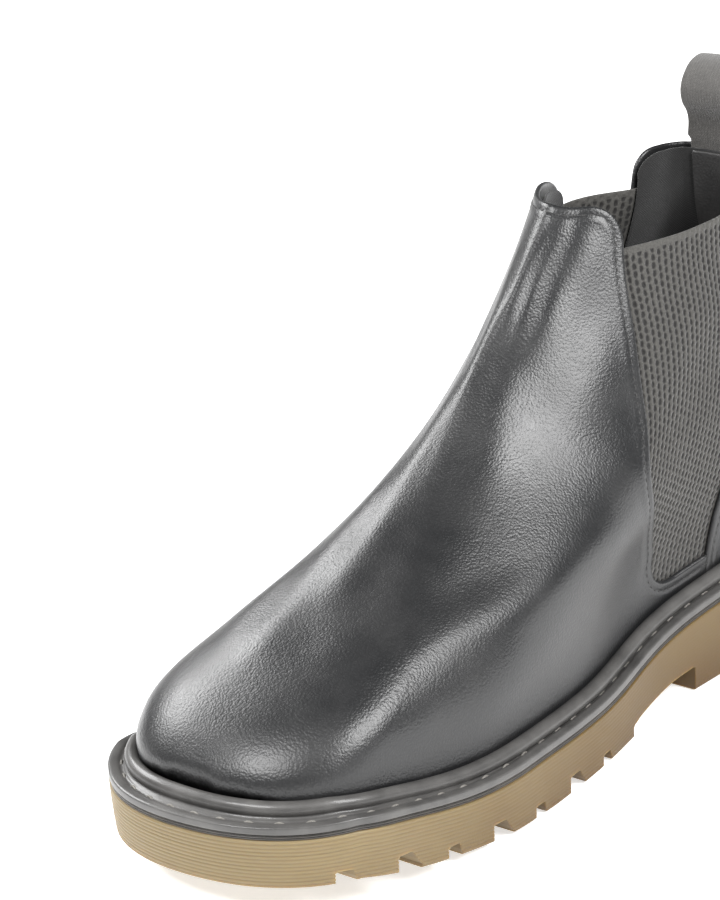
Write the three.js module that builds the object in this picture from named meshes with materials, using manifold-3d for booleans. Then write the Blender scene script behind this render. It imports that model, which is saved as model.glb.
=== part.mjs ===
// Chelsea boot, left foot, as separate solids in millimetres.
// The toe points to -Y, the lateral (outer) side to +X, and the sole stands on z = 0.
import * as THREE from "three";
import { mergeVertices } from "three/addons/utils/BufferGeometryUtils.js";
import Module from "manifold-3d";

const wasm = await Module();
wasm.setup();

// ---- driving dimensions ----
const SOLE_LENGTH = 302;
const UPPER_WIDTH = 92; // across the ball of the foot, at the feather edge
const SHAFT_HEIGHT = 136; // from the feather edge to the top of the vamp tongue
const SOLE_THICKNESS = 23; // forepart, ground to feather edge
const HEEL_THICKNESS = 36;
const TOE_SPRING = 10;
const WELT_OFFSET = 8.2; // how far the sole stands out from the feather edge
const TOE_WELT_OFFSET = 11.5;

const LEATHER = 1.5;
const INTERLAYER = 1.0; // elastic gores, toe puff, heel counter, webbing ends
const LINING = 0.8;
const LINING_GAP = 0.6; // wider, because the layers turn in over the sprung toe
const GAP = 0.3; // clearance between neighbouring pieces
const SOLE_GAP = 0.6; // between the stacked sole parts, whose toes curve
const LASTING_MARGIN = 12;

const WELT_THICKNESS = 2.8;
const BEAD_HEIGHT = 2.6;
const MIDSOLE_THICKNESS = 1.8;
const INSOLE_THICKNESS = 2.5;
const FOOTBED_THICKNESS = 4;
const FOOTBED_TOE_INSET = 0.02 * SOLE_LENGTH; // the toe wall leans in over the footbed
const SHANK_LENGTH = 105;
const SHANK_WIDTH = 14;
const SHANK_THICKNESS = 1.4;

const LUG_PITCH = 40;
const LUG_DEPTH = 6;
const SMALL_LUG_DEPTH = 3;
const NOTCH_REACH = 13; // how far a notch runs in from the sole edge
const WAIST_FRONT = 12; // rear face of the forepart lugs
const HEEL_BREAST = 51; // front face of the heel
const WAIST_RISE = 8;

// Heights on the shaft run from 0 at the feather edge to 1 at the top of the vamp tongue.
const GORE_UNDERLAP = 0.036; // hidden lower edge of the gore, clear of the turned-in layers
const GORE_BOTTOM = 0.06;
const GORE_TOP = 0.92;
const QUARTER_TOP = 1.03;
const GORE_REAR_ANGLE = 118.5; // degrees round the shaft from the toe
const COUNTER_TOP = 0.48;
const PUFF_TOP = 0.27;

const LOOP_WIDTH = 20;
const LOOP_HEIGHT = 27;
const LOOP_BULGE = 17;
const LOOP_CLEARANCE = 0.7; // over the collar edge, so that the folding webbing clears it
const WEBBING = 1.2;
const LOOP_TUCK = 0.87; // how low the sewn-in ends reach down the collar

const THREAD = 0.7; // thread diameter
const GORE_STITCH = 2.4; // stitching beside the gore edge
const STITCH_MARGIN = 0.028; // topline stitching below the edge, share of the shaft

// ---- smooth interpolation through keys at uneven stations ----
function smooth(keys, values, t) {
  const last = keys.length - 1;
  let k = 0;
  while (k < last - 1 && t > keys[k + 1]) k += 1;
  const slope = (a, b) => (values[b] - values[a]) / (keys[b] - keys[a]);
  const h = keys[k + 1] - keys[k];
  const before = k > 0 ? slope(k - 1, k + 1) : slope(k, k + 1);
  const after = k < last - 1 ? slope(k, k + 2) : slope(k, k + 1);
  const x = (t - keys[k]) / h;
  if (x < 0) return values[k] + before * h * x;
  if (x > 1) return values[k + 1] + after * h * (x - 1);
  const a = (1 + 2 * x) * (1 - x) * (1 - x);
  const b = x * (1 - x) * (1 - x);
  const c = x * x * (3 - 2 * x);
  const d = x * x * (x - 1);
  return a * values[k] + b * h * before + c * values[k + 1] + d * h * after;
}

// ---- the last: rings round the foot, from the feather edge (0) to the topline (1) ----
const LEVELS = [0, 0.07, 0.143, 0.286, 0.429, 0.571, 0.714, 0.857, 1];
const RING = {
  front: [-0.46, -0.456, -0.425, -0.348, -0.245, -0.105, -0.003, 0.0745, 0.148],
  frontRise: [0, 0.07, 0.14, 0.24, 0.33, 0.48, 0.66, 0.822, 1],
  back: [0.472, 0.481, 0.486, 0.489, 0.483, 0.473, 0.455, 0.442, 0.441],
  lateral: [0.53, 0.534, 0.534, 0.525, 0.474, 0.408, 0.37, 0.325, 0.285],
  medial: [0.471, 0.485, 0.485, 0.42, 0.395, 0.385, 0.357, 0.327, 0.32],
  shaft: [0, 0, 0.05, 0.3, 0.58, 0.8, 1, 1, 1],
};
const BACK_RISE = 0.89; // rise of the back ring, share of the shaft height

const STATIONS = [0, 0.12, 0.25, 0.4, 0.55, 0.7, 0.82, 0.92, 1];
const FOOT_LATERAL = [0.66, 0.675, 0.675, 0.7, 0.88, 1, 0.97, 0.93, 0.93];
const FOOT_MEDIAL = [0.7, 0.7, 0.68, 0.66, 0.76, 0.94, 0.985, 0.98, 0.92];

const FEATHER_Y = [-0.406, -0.367, -0.255, -0.134, 0.016, 0.167, 0.318, 0.471];
const FEATHER_RISE = [0.82, 0.63, 0.05, 0, 0.02, 0.5, 0.75, 1];

function featherHeight(y) {
  const at = THREE.MathUtils.clamp(y / SOLE_LENGTH, FEATHER_Y[0], FEATHER_Y[7]);
  const share = smooth(FEATHER_Y, FEATHER_RISE, at);
  const top = at < -0.134 ? SOLE_THICKNESS + TOE_SPRING : HEEL_THICKNESS;
  return SOLE_THICKNESS + share * (top - SOLE_THICKNESS);
}

function groundHeight(y) {
  const at = y / SOLE_LENGTH;
  if (at > -0.134) return 0;
  return TOE_SPRING * Math.min(1, smooth([-0.406, -0.315, -0.225, -0.134], [1, 0.42, 0.1, 0], Math.max(at, -0.406)));
}

function roundEnd(fromEnd, length, power) {
  if (fromEnd >= length) return 1;
  return (1 - (1 - fromEnd / length) ** power) ** (1 / power);
}

function footWidth(table, s) {
  return smooth(STATIONS, table, s) * roundEnd(s, 0.11, 2.3) * roundEnd(1 - s, 0.115, 2.3);
}

function shaftWidth(s) {
  const widest = 0.465;
  const away = s < widest ? (widest - s) / widest : (s - widest) / (1 - widest);
  const power = s < widest ? 2.3 : 1.7;
  return (1 - away ** power) ** (1 / power);
}

// A point on the outer face of the upper: angle in degrees from the toe (+ lateral, - medial).
function upperPoint(angle, v) {
  const turn = THREE.MathUtils.degToRad(angle);
  const s = (1 + Math.cos(turn)) / 2;
  const at = (key) => smooth(LEVELS, RING[key], v);
  const mix = THREE.MathUtils.clamp(at("shaft"), 0, 1);
  const lateral = angle >= 0;
  const half = UPPER_WIDTH * at(lateral ? "lateral" : "medial");
  const profile = (1 - mix) * footWidth(lateral ? FOOT_LATERAL : FOOT_MEDIAL, s) + mix * shaftWidth(s);
  const sway = 6.5 * Math.max(0, (s - 0.55) / 0.45) ** 1.5 * (1 - mix);
  const y = SOLE_LENGTH * (at("back") + (at("front") - at("back")) * s);
  const frontZ = featherHeight(SOLE_LENGTH * RING.front[0]) * 0.9 + SHAFT_HEIGHT * at("frontRise");
  const backZ = HEEL_THICKNESS + SHAFT_HEIGHT * BACK_RISE * v;
  let z = backZ + (frontZ - backZ) * s;
  if (v < 0.3) {
    const y0 = SOLE_LENGTH * (RING.back[0] + (RING.front[0] - RING.back[0]) * s);
    const front0 = featherHeight(SOLE_LENGTH * RING.front[0]) * 0.9;
    const ring0 = HEEL_THICKNESS + (front0 - HEEL_THICKNESS) * s;
    z += (featherHeight(y0) - ring0) * (1 - v / 0.3) ** 2;
  }
  return new THREE.Vector3((lateral ? half : -half) * profile - sway, y, z);
}

// ---- one shared grid over the upper, so stacked layers keep parallel facets ----
const FRONT_COLUMNS = 16;
const GORE_COLUMNS = 6;
const QUARTER_STEPS = [0.05, 0.12, 0.22, 0.36, 0.5, 0.63, 0.756, 0.88, 1];
const GORE_FRONT_COLUMN = FRONT_COLUMNS;
const GORE_REAR_COLUMN = FRONT_COLUMNS + GORE_COLUMNS;
const BACK_COLUMN = GORE_REAR_COLUMN + QUARTER_STEPS.length;
const COLUMNS = 2 * BACK_COLUMN;

const ROWS = [0, GORE_UNDERLAP, GORE_BOTTOM, 0.1, 0.17, PUFF_TOP, 0.37, COUNTER_TOP, 0.58, 0.69, 0.8, LOOP_TUCK, 0.94, 1];
const GORE_ROW = ROWS.indexOf(GORE_BOTTOM);
const PUFF_ROW = ROWS.indexOf(PUFF_TOP);
const COUNTER_ROW = ROWS.indexOf(COUNTER_TOP);
const TUCK_ROW = ROWS.indexOf(LOOP_TUCK);
const TOP_ROW = ROWS.length - 1;

function goreFrontAngle(v) {
  return smooth([0, 0.12, 0.41, 0.615, 0.815, 0.92, 1.03], [107, 104.5, 91, 77.5, 63.5, 55.5, 51], v);
}

// Height of the topline at a column: high tongue, low gore, high quarter, with rounded corners.
function topAt(column) {
  const n = Math.abs(column);
  if (n <= GORE_FRONT_COLUMN) {
    return smooth([0, 10, 12, 13, 14, 15, 16], [1, 0.995, 0.985, 0.972, 0.958, 0.942, GORE_TOP], n);
  }
  if (n <= GORE_REAR_COLUMN) return GORE_TOP;
  return smooth([0, 1, 2, 3, 9], [GORE_TOP, 0.985, 1.018, QUARTER_TOP, QUARTER_TOP], n - GORE_REAR_COLUMN);
}

function angleAt(column, v) {
  const n = Math.abs(column);
  const sign = column < 0 ? -1 : 1;
  const front = goreFrontAngle(v);
  const between = (a, b, t) => a + (b - a) * t;
  const low = Math.floor(n);
  if (low < n) {
    return between(angleAt(sign * low, v), angleAt(sign * (low + 1), v), n - low);
  }
  if (n <= GORE_FRONT_COLUMN) return (sign * front * n) / FRONT_COLUMNS;
  if (n <= GORE_REAR_COLUMN) return sign * between(front, GORE_REAR_ANGLE, (n - FRONT_COLUMNS) / GORE_COLUMNS);
  return sign * between(GORE_REAR_ANGLE, 180, QUARTER_STEPS[n - GORE_REAR_COLUMN - 1]);
}

function surfaceAt(column, row) {
  const v = row * topAt(column);
  return upperPoint(angleAt(column, v), v);
}

// The grid's columns run from the medial back round the toe to the lateral back.
const columnNumber = (i) => i - BACK_COLUMN;
const feather = [];
for (let i = 0; i < COLUMNS; i += 1) feather.push(surfaceAt(columnNumber(i), 0));

// Outward normals of the feather edge, seen from above.
const outward = feather.map((point, i) => {
  const next = feather[(i + 1) % COLUMNS];
  const prior = feather[(i + COLUMNS - 1) % COLUMNS];
  const along = new THREE.Vector3().subVectors(next, prior).setZ(0).normalize();
  return new THREE.Vector3(along.y, -along.x, 0);
});

// A point beside the feather edge, moved out in plan and raised.
function besideFeather(i, out, rise) {
  const k = ((i % COLUMNS) + COLUMNS) % COLUMNS;
  const point = feather[k].clone().addScaledVector(outward[k], out);
  return point.setZ(featherHeight(point.y) + rise);
}

// 0 from the heel to the ball, rising to 1 at the toe.
function toeShare(i) {
  return THREE.MathUtils.clamp((-0.15 - feather[i].y / SOLE_LENGTH) / 0.24, 0, 1);
}

// Grid rows: 0 is the turned-in lasting margin, 1 the feather edge, then up the shaft.
const grid = [feather.map((point, i) => besideFeather(i, -LASTING_MARGIN, 0))];
for (const row of ROWS) grid.push(feather.map((point, i) => surfaceAt(columnNumber(i), row)));
const LAST_GRID_ROW = grid.length - 1;

const wallNormals = grid.map((points, j) =>
  points.map((point, i) => {
    if (j === 0) return new THREE.Vector3(0, 0, -1);
    const below = Math.max(j - 1, 1);
    const above = Math.min(j + 1, LAST_GRID_ROW);
    const side = new THREE.Vector3().subVectors(points[(i + 1) % COLUMNS], points[(i + COLUMNS - 1) % COLUMNS]);
    const up = new THREE.Vector3().subVectors(grid[above][i], grid[below][i]);
    return side.cross(up).normalize();
  }),
);
const offsets = wallNormals.map((normals, j) =>
  normals.map((normal) => {
    if (j !== 1) return normal.clone();
    const down = new THREE.Vector3(0, 0, -1);
    const miter = new THREE.Vector3().addVectors(normal, down);
    return miter.divideScalar(1 + Math.max(-0.45, normal.dot(down)));
  }),
);

// ---- solids ----
const boot = new THREE.Group();

function geometryFrom(corners, faces) {
  const positions = [];
  for (const face of faces) {
    for (const k of face) positions.push(corners[k].x, corners[k].y, corners[k].z);
  }
  const geometry = new THREE.BufferGeometry();
  geometry.setAttribute("position", new THREE.Float32BufferAttribute(positions, 3));
  geometry.computeVertexNormals();
  return geometry;
}

function addPiece(name, geometry, finish) {
  const mesh = new THREE.Mesh(geometry, new THREE.MeshStandardMaterial(finish));
  mesh.name = name;
  boot.add(mesh);
  return mesh;
}

// A layer of the upper over the grid cells that belong to it, between two depths under the outer face.
function layer(name, holds, outerDepth, innerDepth, finish) {
  const cellIn = (i, j) => j >= 0 && j < LAST_GRID_ROW && holds(columnOfCell(i), j);
  const corners = [];
  const faces = [];
  const outer = new Map();
  const inner = new Map();
  const middle = (i, j) => {
    const a = grid[j][i];
    const b = grid[j + 1][(i + 1) % COLUMNS];
    return new THREE.Vector3().addVectors(a, b).multiplyScalar(0.5);
  };
  const corner = (i, j, store, depth) => {
    const key = j * COLUMNS + i;
    if (store.has(key)) return store.get(key);
    const point = grid[j][i].clone().addScaledVector(offsets[j][i], -depth);
    const around = [[i, j], [i, j - 1], [(i + COLUMNS - 1) % COLUMNS, j], [(i + COLUMNS - 1) % COLUMNS, j - 1]];
    const mine = around.filter(([a, b]) => cellIn(a, b));
    if (mine.length < 4) {
      const inward = new THREE.Vector3();
      for (const [a, b] of mine) inward.add(middle(a, b).sub(grid[j][i]));
      inward.addScaledVector(wallNormals[j][i], -inward.dot(wallNormals[j][i]));
      point.addScaledVector(inward.normalize(), GAP * (0.8 + 0.2 * depth));
    }
    corners.push(point);
    store.set(key, corners.length - 1);
    return corners.length - 1;
  };
  for (let j = 0; j < LAST_GRID_ROW; j += 1) {
    for (let i = 0; i < COLUMNS; i += 1) {
      if (!cellIn(i, j)) continue;
      const n = (i + 1) % COLUMNS;
      const ring = [[i, j], [n, j], [n, j + 1], [i, j + 1]];
      const o = ring.map(([a, b]) => corner(a, b, outer, outerDepth));
      const d = ring.map(([a, b]) => corner(a, b, inner, innerDepth));
      faces.push([o[0], o[1], o[2]], [o[0], o[2], o[3]]);
      faces.push([d[0], d[2], d[1]], [d[0], d[3], d[2]]);
      const beside = [[i, j - 1], [n, j], [i, j + 1], [(i + COLUMNS - 1) % COLUMNS, j]];
      beside.forEach(([a, b], side) => {
        if (cellIn(a, b)) return;
        const e = (side + 1) % 4;
        faces.push([o[side], d[side], d[e]], [o[side], d[e], o[e]]);
      });
    }
  }
  return addPiece(name, geometryFrom(corners, faces), finish);
}

// Signed cell column: cell n lies between columns n and n + 1 lateral, and mirrored medial.
function columnOfCell(i) {
  return i - BACK_COLUMN + 0.5;
}

// Closed ring swept round the sole from a profile of [out, rise] pairs, listed anticlockwise in section.
function soleRing(name, profileAt, finish) {
  const corners = [];
  const faces = [];
  const count = profileAt(0).length;
  for (let i = 0; i < COLUMNS; i += 1) corners.push(...profileAt(i));
  for (let i = 0; i < COLUMNS; i += 1) {
    const n = (i + 1) % COLUMNS;
    for (let k = 0; k < count; k += 1) {
      const m = (k + 1) % count;
      faces.push([i * count + k, n * count + k, n * count + m], [i * count + k, n * count + m, i * count + m]);
    }
  }
  return addPiece(name, geometryFrom(corners, faces), finish);
}

// Plate across the sole; index 0 of the outline is the heel, index BACK_COLUMN the toe.
function plateGeometry(outlineAt, bottomAt, topAt2) {
  const corners = [];
  const faces = [];
  for (let i = 0; i < COLUMNS; i += 1) {
    const point = outlineAt(i);
    corners.push(bottomAt(point, i), topAt2(point, i));
  }
  const low = (i) => 2 * (i % COLUMNS);
  const high = (i) => 2 * (i % COLUMNS) + 1;
  for (let i = 0; i < COLUMNS; i += 1) {
    faces.push([low(i), low(i + 1), high(i + 1)], [low(i), high(i + 1), high(i)]);
  }
  for (let i = 0; i < BACK_COLUMN; i += 1) {
    const a = i;
    const b = i + 1;
    const c = COLUMNS - i - 1;
    const d = (COLUMNS - i) % COLUMNS;
    if (b !== c) {
      faces.push([high(a), high(b), high(c)], [low(a), low(c), low(b)]);
    }
    if (a !== d) {
      faces.push([high(a), high(c), high(d)], [low(a), low(d), low(c)]);
    }
  }
  return geometryFrom(corners, faces);
}

function plate(name, inset, toeInset, bottomRise, topRise, finish) {
  const at = (i) => besideFeather(i, -inset - toeInset * toeShare(i), 0);
  const raised = (rise) => (point) => point.clone().add(new THREE.Vector3(0, 0, rise));
  return addPiece(name, plateGeometry(at, raised(bottomRise), raised(topRise)), finish);
}

// Thread along points, four-sided in section; closed when the path meets itself.
function thread(name, path, closed, finish) {
  const section = 4;
  const corners = [];
  const faces = [];
  const total = path.length;
  path.forEach((stop, k) => {
    const next = path[closed ? (k + 1) % total : Math.min(k + 1, total - 1)].point;
    const prior = path[closed ? (k + total - 1) % total : Math.max(k - 1, 0)].point;
    const along = new THREE.Vector3().subVectors(next, prior).normalize();
    const side = new THREE.Vector3().crossVectors(stop.normal, along).normalize();
    const up = new THREE.Vector3().crossVectors(along, side);
    for (let m = 0; m < section; m += 1) {
      const turn = (Math.PI / 2) * m;
      const point = stop.point.clone().addScaledVector(side, (Math.cos(turn) * THREAD) / 2);
      corners.push(point.addScaledVector(up, (Math.sin(turn) * THREAD) / 2));
    }
  });
  const spans = closed ? total : total - 1;
  for (let k = 0; k < spans; k += 1) {
    const a = k * section;
    const b = ((k + 1) % total) * section;
    for (let m = 0; m < section; m += 1) {
      const n = (m + 1) % section;
      faces.push([a + m, b + n, b + m], [a + m, a + n, b + n]);
    }
  }
  if (!closed) {
    const z = (total - 1) * section;
    faces.push([0, 2, 1], [0, 3, 2], [z, z + 1, z + 2], [z, z + 2, z + 3]);
  }
  return addPiece(name, geometryFrom(corners, faces), finish);
}

// A stop for a thread just above the outer face; column and grid row may be fractions.
function overUpper(column, gridRow) {
  const at = column + BACK_COLUMN;
  const i = Math.floor(at);
  const j = Math.min(Math.floor(gridRow), LAST_GRID_ROW - 1);
  const tx = at - i;
  const ty = gridRow - j;
  const a = ((i % COLUMNS) + COLUMNS) % COLUMNS;
  const b = (a + 1) % COLUMNS;
  const blend = (table) => {
    const low = table[j][a].clone().lerp(table[j][b], tx);
    const high = table[j + 1][a].clone().lerp(table[j + 1][b], tx);
    return low.lerp(high, ty);
  };
  const normal = blend(wallNormals).normalize();
  return { point: blend(grid).addScaledVector(normal, THREAD / 2 + GAP), normal };
}

const leather = { color: "#26262a", roughness: 0.42, metalness: 0 };
const elastic = { color: "#35322f", roughness: 0.9, metalness: 0 };
const textile = { color: "#2c2b2b", roughness: 0.95, metalness: 0 };
const webbing = { color: "#3d3b39", roughness: 0.9, metalness: 0 };
const board = { color: "#8a6f50", roughness: 0.9, metalness: 0 };
const cork = { color: "#7d5f3e", roughness: 0.95, metalness: 0 };
const steel = { color: "#9a9da1", roughness: 0.35, metalness: 1 };
const blackRubber = { color: "#1b1b1c", roughness: 0.45, metalness: 0 };
const amberRubber = { color: "#a08c5f", roughness: 0.4, metalness: 0 };
const blackThread = { color: "#1d1c1c", roughness: 0.7, metalness: 0 };
const lightThread = { color: "#77746e", roughness: 0.7, metalness: 0 };

// Which cells each part of the upper covers. A gore opening is cut from row GORE_ROW + 1 up.
const inGore = (c) => Math.abs(c) > GORE_FRONT_COLUMN && Math.abs(c) < GORE_REAR_COLUMN;
const inVamp = (c, j) => Math.abs(c) < GORE_FRONT_COLUMN || (inGore(c) && j <= GORE_ROW);
const inQuarter = (c) => Math.abs(c) > GORE_REAR_COLUMN;
const STRIP_COLUMN = BACK_COLUMN - 2;
const LOOP_COLUMN = BACK_COLUMN - 2;

layer("vamp", inVamp, 0, LEATHER, leather);
layer("quarter_lateral", (c) => inQuarter(c) && c > 0, 0, LEATHER, leather);
layer("quarter_medial", (c) => inQuarter(c) && c < 0, 0, LEATHER, leather);

const betweenTop = LEATHER + GAP;
const betweenBottom = betweenTop + INTERLAYER;
const liningTop = betweenBottom + LINING_GAP;
const liningBottom = liningTop + LINING;
const underGore = (c, j) =>
  Math.abs(c) > GORE_FRONT_COLUMN - 1 && Math.abs(c) < GORE_REAR_COLUMN + 1 && j >= GORE_ROW;
layer("gore_lateral", (c, j) => underGore(c, j) && c > 0, betweenTop, betweenBottom, elastic);
layer("gore_medial", (c, j) => underGore(c, j) && c < 0, betweenTop, betweenBottom, elastic);
layer("toe_puff", (c, j) => Math.abs(c) < 9 && j <= PUFF_ROW, betweenTop, betweenBottom, board);
layer(
  "heel_counter",
  (c, j) => Math.abs(c) > GORE_REAR_COLUMN + 1 && j <= COUNTER_ROW,
  betweenTop,
  betweenBottom,
  board,
);
layer(
  "pull_loop_ends",
  (c, j) => Math.abs(c) > LOOP_COLUMN && j > TUCK_ROW,
  betweenTop,
  betweenBottom,
  webbing,
);
layer("vamp_lining", inVamp, liningTop, liningBottom, textile);
layer("quarter_lining", inQuarter, liningTop, liningBottom, textile);
layer(
  "back_lining_strip",
  (c, j) => Math.abs(c) > STRIP_COLUMN && j > COUNTER_ROW,
  liningBottom + GAP,
  liningBottom + GAP + LINING,
  leather,
);

// ---- threads on the upper ----
const goreLine = (sign) => {
  const stops = [];
  const rear = GORE_REAR_COLUMN + 0.8;
  for (let j = LAST_GRID_ROW - 1; j > GORE_ROW + 1; j -= 1) {
    const edge = grid[j][BACK_COLUMN + sign * GORE_FRONT_COLUMN];
    const column = edge.distanceTo(grid[j][BACK_COLUMN + sign * (GORE_FRONT_COLUMN - 1)]);
    stops.push(overUpper(sign * (GORE_FRONT_COLUMN - Math.min(0.8, GORE_STITCH / column)), j));
  }
  for (let n = GORE_FRONT_COLUMN; n <= GORE_REAR_COLUMN; n += 1) stops.push(overUpper(sign * n, GORE_ROW + 0.55));
  for (let j = GORE_ROW + 2; j < LAST_GRID_ROW; j += 1) stops.push(overUpper(sign * rear, j));
  return stops;
};
thread("gore_thread_lateral", goreLine(1), false, blackThread);
thread("gore_thread_medial", goreLine(-1), false, blackThread);

const toplineRow = LAST_GRID_ROW - STITCH_MARGIN / (1 - ROWS[TOP_ROW - 1]);
const frontLine = [];
for (let n = -GORE_FRONT_COLUMN + 2; n <= GORE_FRONT_COLUMN - 2; n += 1) frontLine.push(overUpper(n, toplineRow));
thread("topline_thread_front", frontLine, false, blackThread);
const backLine = [];
for (let n = GORE_REAR_COLUMN + 2; n <= COLUMNS - GORE_REAR_COLUMN - 2; n += 1) {
  backLine.push(overUpper(n > BACK_COLUMN ? n - COLUMNS : n, toplineRow));
}
thread("topline_thread_back", backLine, false, blackThread);

// ---- bottom parts ----
const soleOut = (i) => WELT_OFFSET + (TOE_WELT_OFFSET - WELT_OFFSET) * toeShare(i);
const weltTop = -SOLE_GAP;
const weltBottom = weltTop - WELT_THICKNESS;
const groove = (i) => soleOut(i) - 3.6;
function beadFoot(i, rise, clear) {
  // Beside the wall of the upper at a height above the feather edge.
  const a = grid[1][i];
  const b = grid[3][i];
  const t = rise / Math.max(1, b.z - a.z);
  const out = THREE.MathUtils.lerp(0, b.clone().sub(a).dot(outward[i]), t);
  return besideFeather(i, Math.max(0, out) + clear, rise);
}
soleRing(
  "welt",
  (i) => [
    besideFeather(i, -LASTING_MARGIN + 1, weltBottom),
    besideFeather(i, soleOut(i) - 0.3, weltBottom),
    besideFeather(i, soleOut(i), weltBottom + 0.4),
    besideFeather(i, soleOut(i) - 0.2, -0.9),
    besideFeather(i, groove(i) + 1, -0.6),
    besideFeather(i, groove(i), -1.5),
    besideFeather(i, groove(i) - 1.2, -0.6),
    beadFoot(i, 1.2, 3.1),
    beadFoot(i, BEAD_HEIGHT, 1.9),
    beadFoot(i, BEAD_HEIGHT - 0.3, 0.7),
    beadFoot(i, 0, 0.45),
    besideFeather(i, 0.3, weltTop),
    besideFeather(i, -LASTING_MARGIN + 1, weltTop),
  ],
  blackRubber,
);
thread(
  "welt_thread",
  feather.map((point, i) => ({
    point: besideFeather(i, groove(i), -1.5 + GAP + THREAD / 2 + 0.25),
    normal: new THREE.Vector3(0, 0, 1),
  })),
  true,
  lightThread,
);

const insoleBottom = liningBottom + GAP;
const insoleTop = insoleBottom + INSOLE_THICKNESS;
plate("insole_board", liningBottom + 1.6, 1, insoleBottom, insoleTop, board);
const footbedBottom = insoleTop + GAP;
plate("footbed", liningBottom + 3, FOOTBED_TOE_INSET, footbedBottom, footbedBottom + FOOTBED_THICKNESS, textile);
const ribOut = -LASTING_MARGIN - 1;
soleRing(
  "insole_rib",
  (i) => [
    besideFeather(i, ribOut - 1.8, weltBottom),
    besideFeather(i, ribOut, weltBottom),
    besideFeather(i, ribOut, insoleBottom - GAP),
    besideFeather(i, ribOut - 1.8, insoleBottom - GAP),
  ],
  textile,
);
const fillerTop = insoleBottom - 3 * GAP - SHANK_THICKNESS;
plate("bottom_filler", LASTING_MARGIN + 3.8, 0, weltBottom, fillerTop, cork);

// The shank follows the bottom of the foot from the heel seat to the waist.
const shankBottom = [];
const shankTop = [];
const shankStops = 8;
for (let k = 0; k <= shankStops; k += 1) {
  const y = 0.36 * SOLE_LENGTH - (SHANK_LENGTH * k) / shankStops;
  const z = featherHeight(y) + fillerTop + 1.5 * GAP;
  shankBottom.push(new THREE.Vector2(y, z));
  shankTop.unshift(new THREE.Vector2(y, z + SHANK_THICKNESS));
}
const shankSide = new THREE.Shape([...shankBottom, ...shankTop]);
const shankGeometry = new THREE.ExtrudeGeometry(shankSide, { depth: SHANK_WIDTH, bevelEnabled: false });
shankGeometry.rotateX(Math.PI / 2);
shankGeometry.rotateZ(Math.PI / 2);
shankGeometry.translate(-SHANK_WIDTH / 2, 0, 0);
addPiece("shank", shankGeometry, steel);

const midsoleTop = weltBottom - SOLE_GAP;
const midsoleBottom = midsoleTop - MIDSOLE_THICKNESS;
addPiece(
  "midsole",
  plateGeometry(
    (i) => besideFeather(i, soleOut(i) - 0.6, 0),
    (point) => point.clone().add(new THREE.Vector3(0, 0, midsoleBottom)),
    (point) => point.clone().add(new THREE.Vector3(0, 0, midsoleTop)),
  ),
  blackRubber,
);

// ---- outsole: plate, then notches, waist and centre grooves cut from it ----
function solid(geometry) {
  const bare = new THREE.BufferGeometry().setAttribute("position", geometry.getAttribute("position"));
  const merged = mergeVertices(bare, 1e-3);
  return new wasm.Manifold(
    new wasm.Mesh({
      numProp: 3,
      vertProperties: merged.attributes.position.array,
      triVerts: new Uint32Array(merged.index.array),
    }),
  );
}
function meshOf(body) {
  const made = body.getMesh();
  const geometry = new THREE.BufferGeometry();
  geometry.setAttribute("position", new THREE.BufferAttribute(made.vertProperties, 3));
  geometry.setIndex(new THREE.BufferAttribute(made.triVerts, 1));
  geometry.computeVertexNormals();
  return geometry;
}
// Prism along X from a [y, z] outline.
function prism(outline, fromX, toX) {
  const shape = new THREE.Shape(outline.map(([y, z]) => new THREE.Vector2(y, z)));
  const geometry = new THREE.ExtrudeGeometry(shape, { depth: toX - fromX, bevelEnabled: false });
  geometry.rotateX(Math.PI / 2);
  geometry.rotateZ(Math.PI / 2);
  geometry.translate(fromX, 0, 0);
  return solid(geometry);
}

const outsoleTop = midsoleBottom - SOLE_GAP;
let outsole = solid(
  plateGeometry(
    (i) => besideFeather(i, soleOut(i), 0),
    (point) => new THREE.Vector3(point.x, point.y, groundHeight(point.y)),
    (point) => point.clone().add(new THREE.Vector3(0, 0, outsoleTop)),
  ),
);
const edgeX = (side, y) => {
  // Plan position of the sole edge at a station along the boot.
  let best = 0;
  for (let n = 0; n <= BACK_COLUMN; n += 1) {
    const i = (BACK_COLUMN + side * n + COLUMNS) % COLUMNS;
    if (Math.abs(feather[i].y - y) < Math.abs(feather[best].y - y) || n === 0) best = i;
  }
  return besideFeather(best, soleOut(best), 0).x;
};
function cutNotch(y, width, depth, slope) {
  const z = groundHeight(y);
  const outline = [
    [y - width / 2, z - 3],
    [y + width / 2 + slope, z - 3],
    [y + width / 2 + slope, z],
    [y + width / 2, z + depth],
    [y - width / 2, z + depth],
  ];
  const lateral = edgeX(1, y);
  const medial = edgeX(-1, y);
  outsole = outsole.subtract(prism(outline, lateral - NOTCH_REACH, lateral + 9));
  outsole = outsole.subtract(prism(outline, medial - 9, medial + NOTCH_REACH));
}
const firstNotch = WAIST_FRONT - LUG_PITCH;
for (let k = 0; k < 3; k += 1) cutNotch(firstNotch - LUG_PITCH * k, 5, LUG_DEPTH, 4.5);
for (let k = 0; k < 4; k += 1) cutNotch(firstNotch + LUG_PITCH * (0.5 - k), 4, SMALL_LUG_DEPTH, 2);
for (let k = 0; k < 3; k += 1) cutNotch(HEEL_BREAST + 20 + 24 * k, 4.5, LUG_DEPTH, k === 0 ? 3 : 0.5);
const waist = [
  [WAIST_FRONT, -3],
  [HEEL_BREAST, -3],
  [HEEL_BREAST, WAIST_RISE + 2.5],
  [HEEL_BREAST - 12, WAIST_RISE + 2],
  [WAIST_FRONT + 5, WAIST_RISE - 1],
  [WAIST_FRONT, WAIST_RISE - 2],
];
outsole = outsole.subtract(prism(waist, -90, 90));
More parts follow.
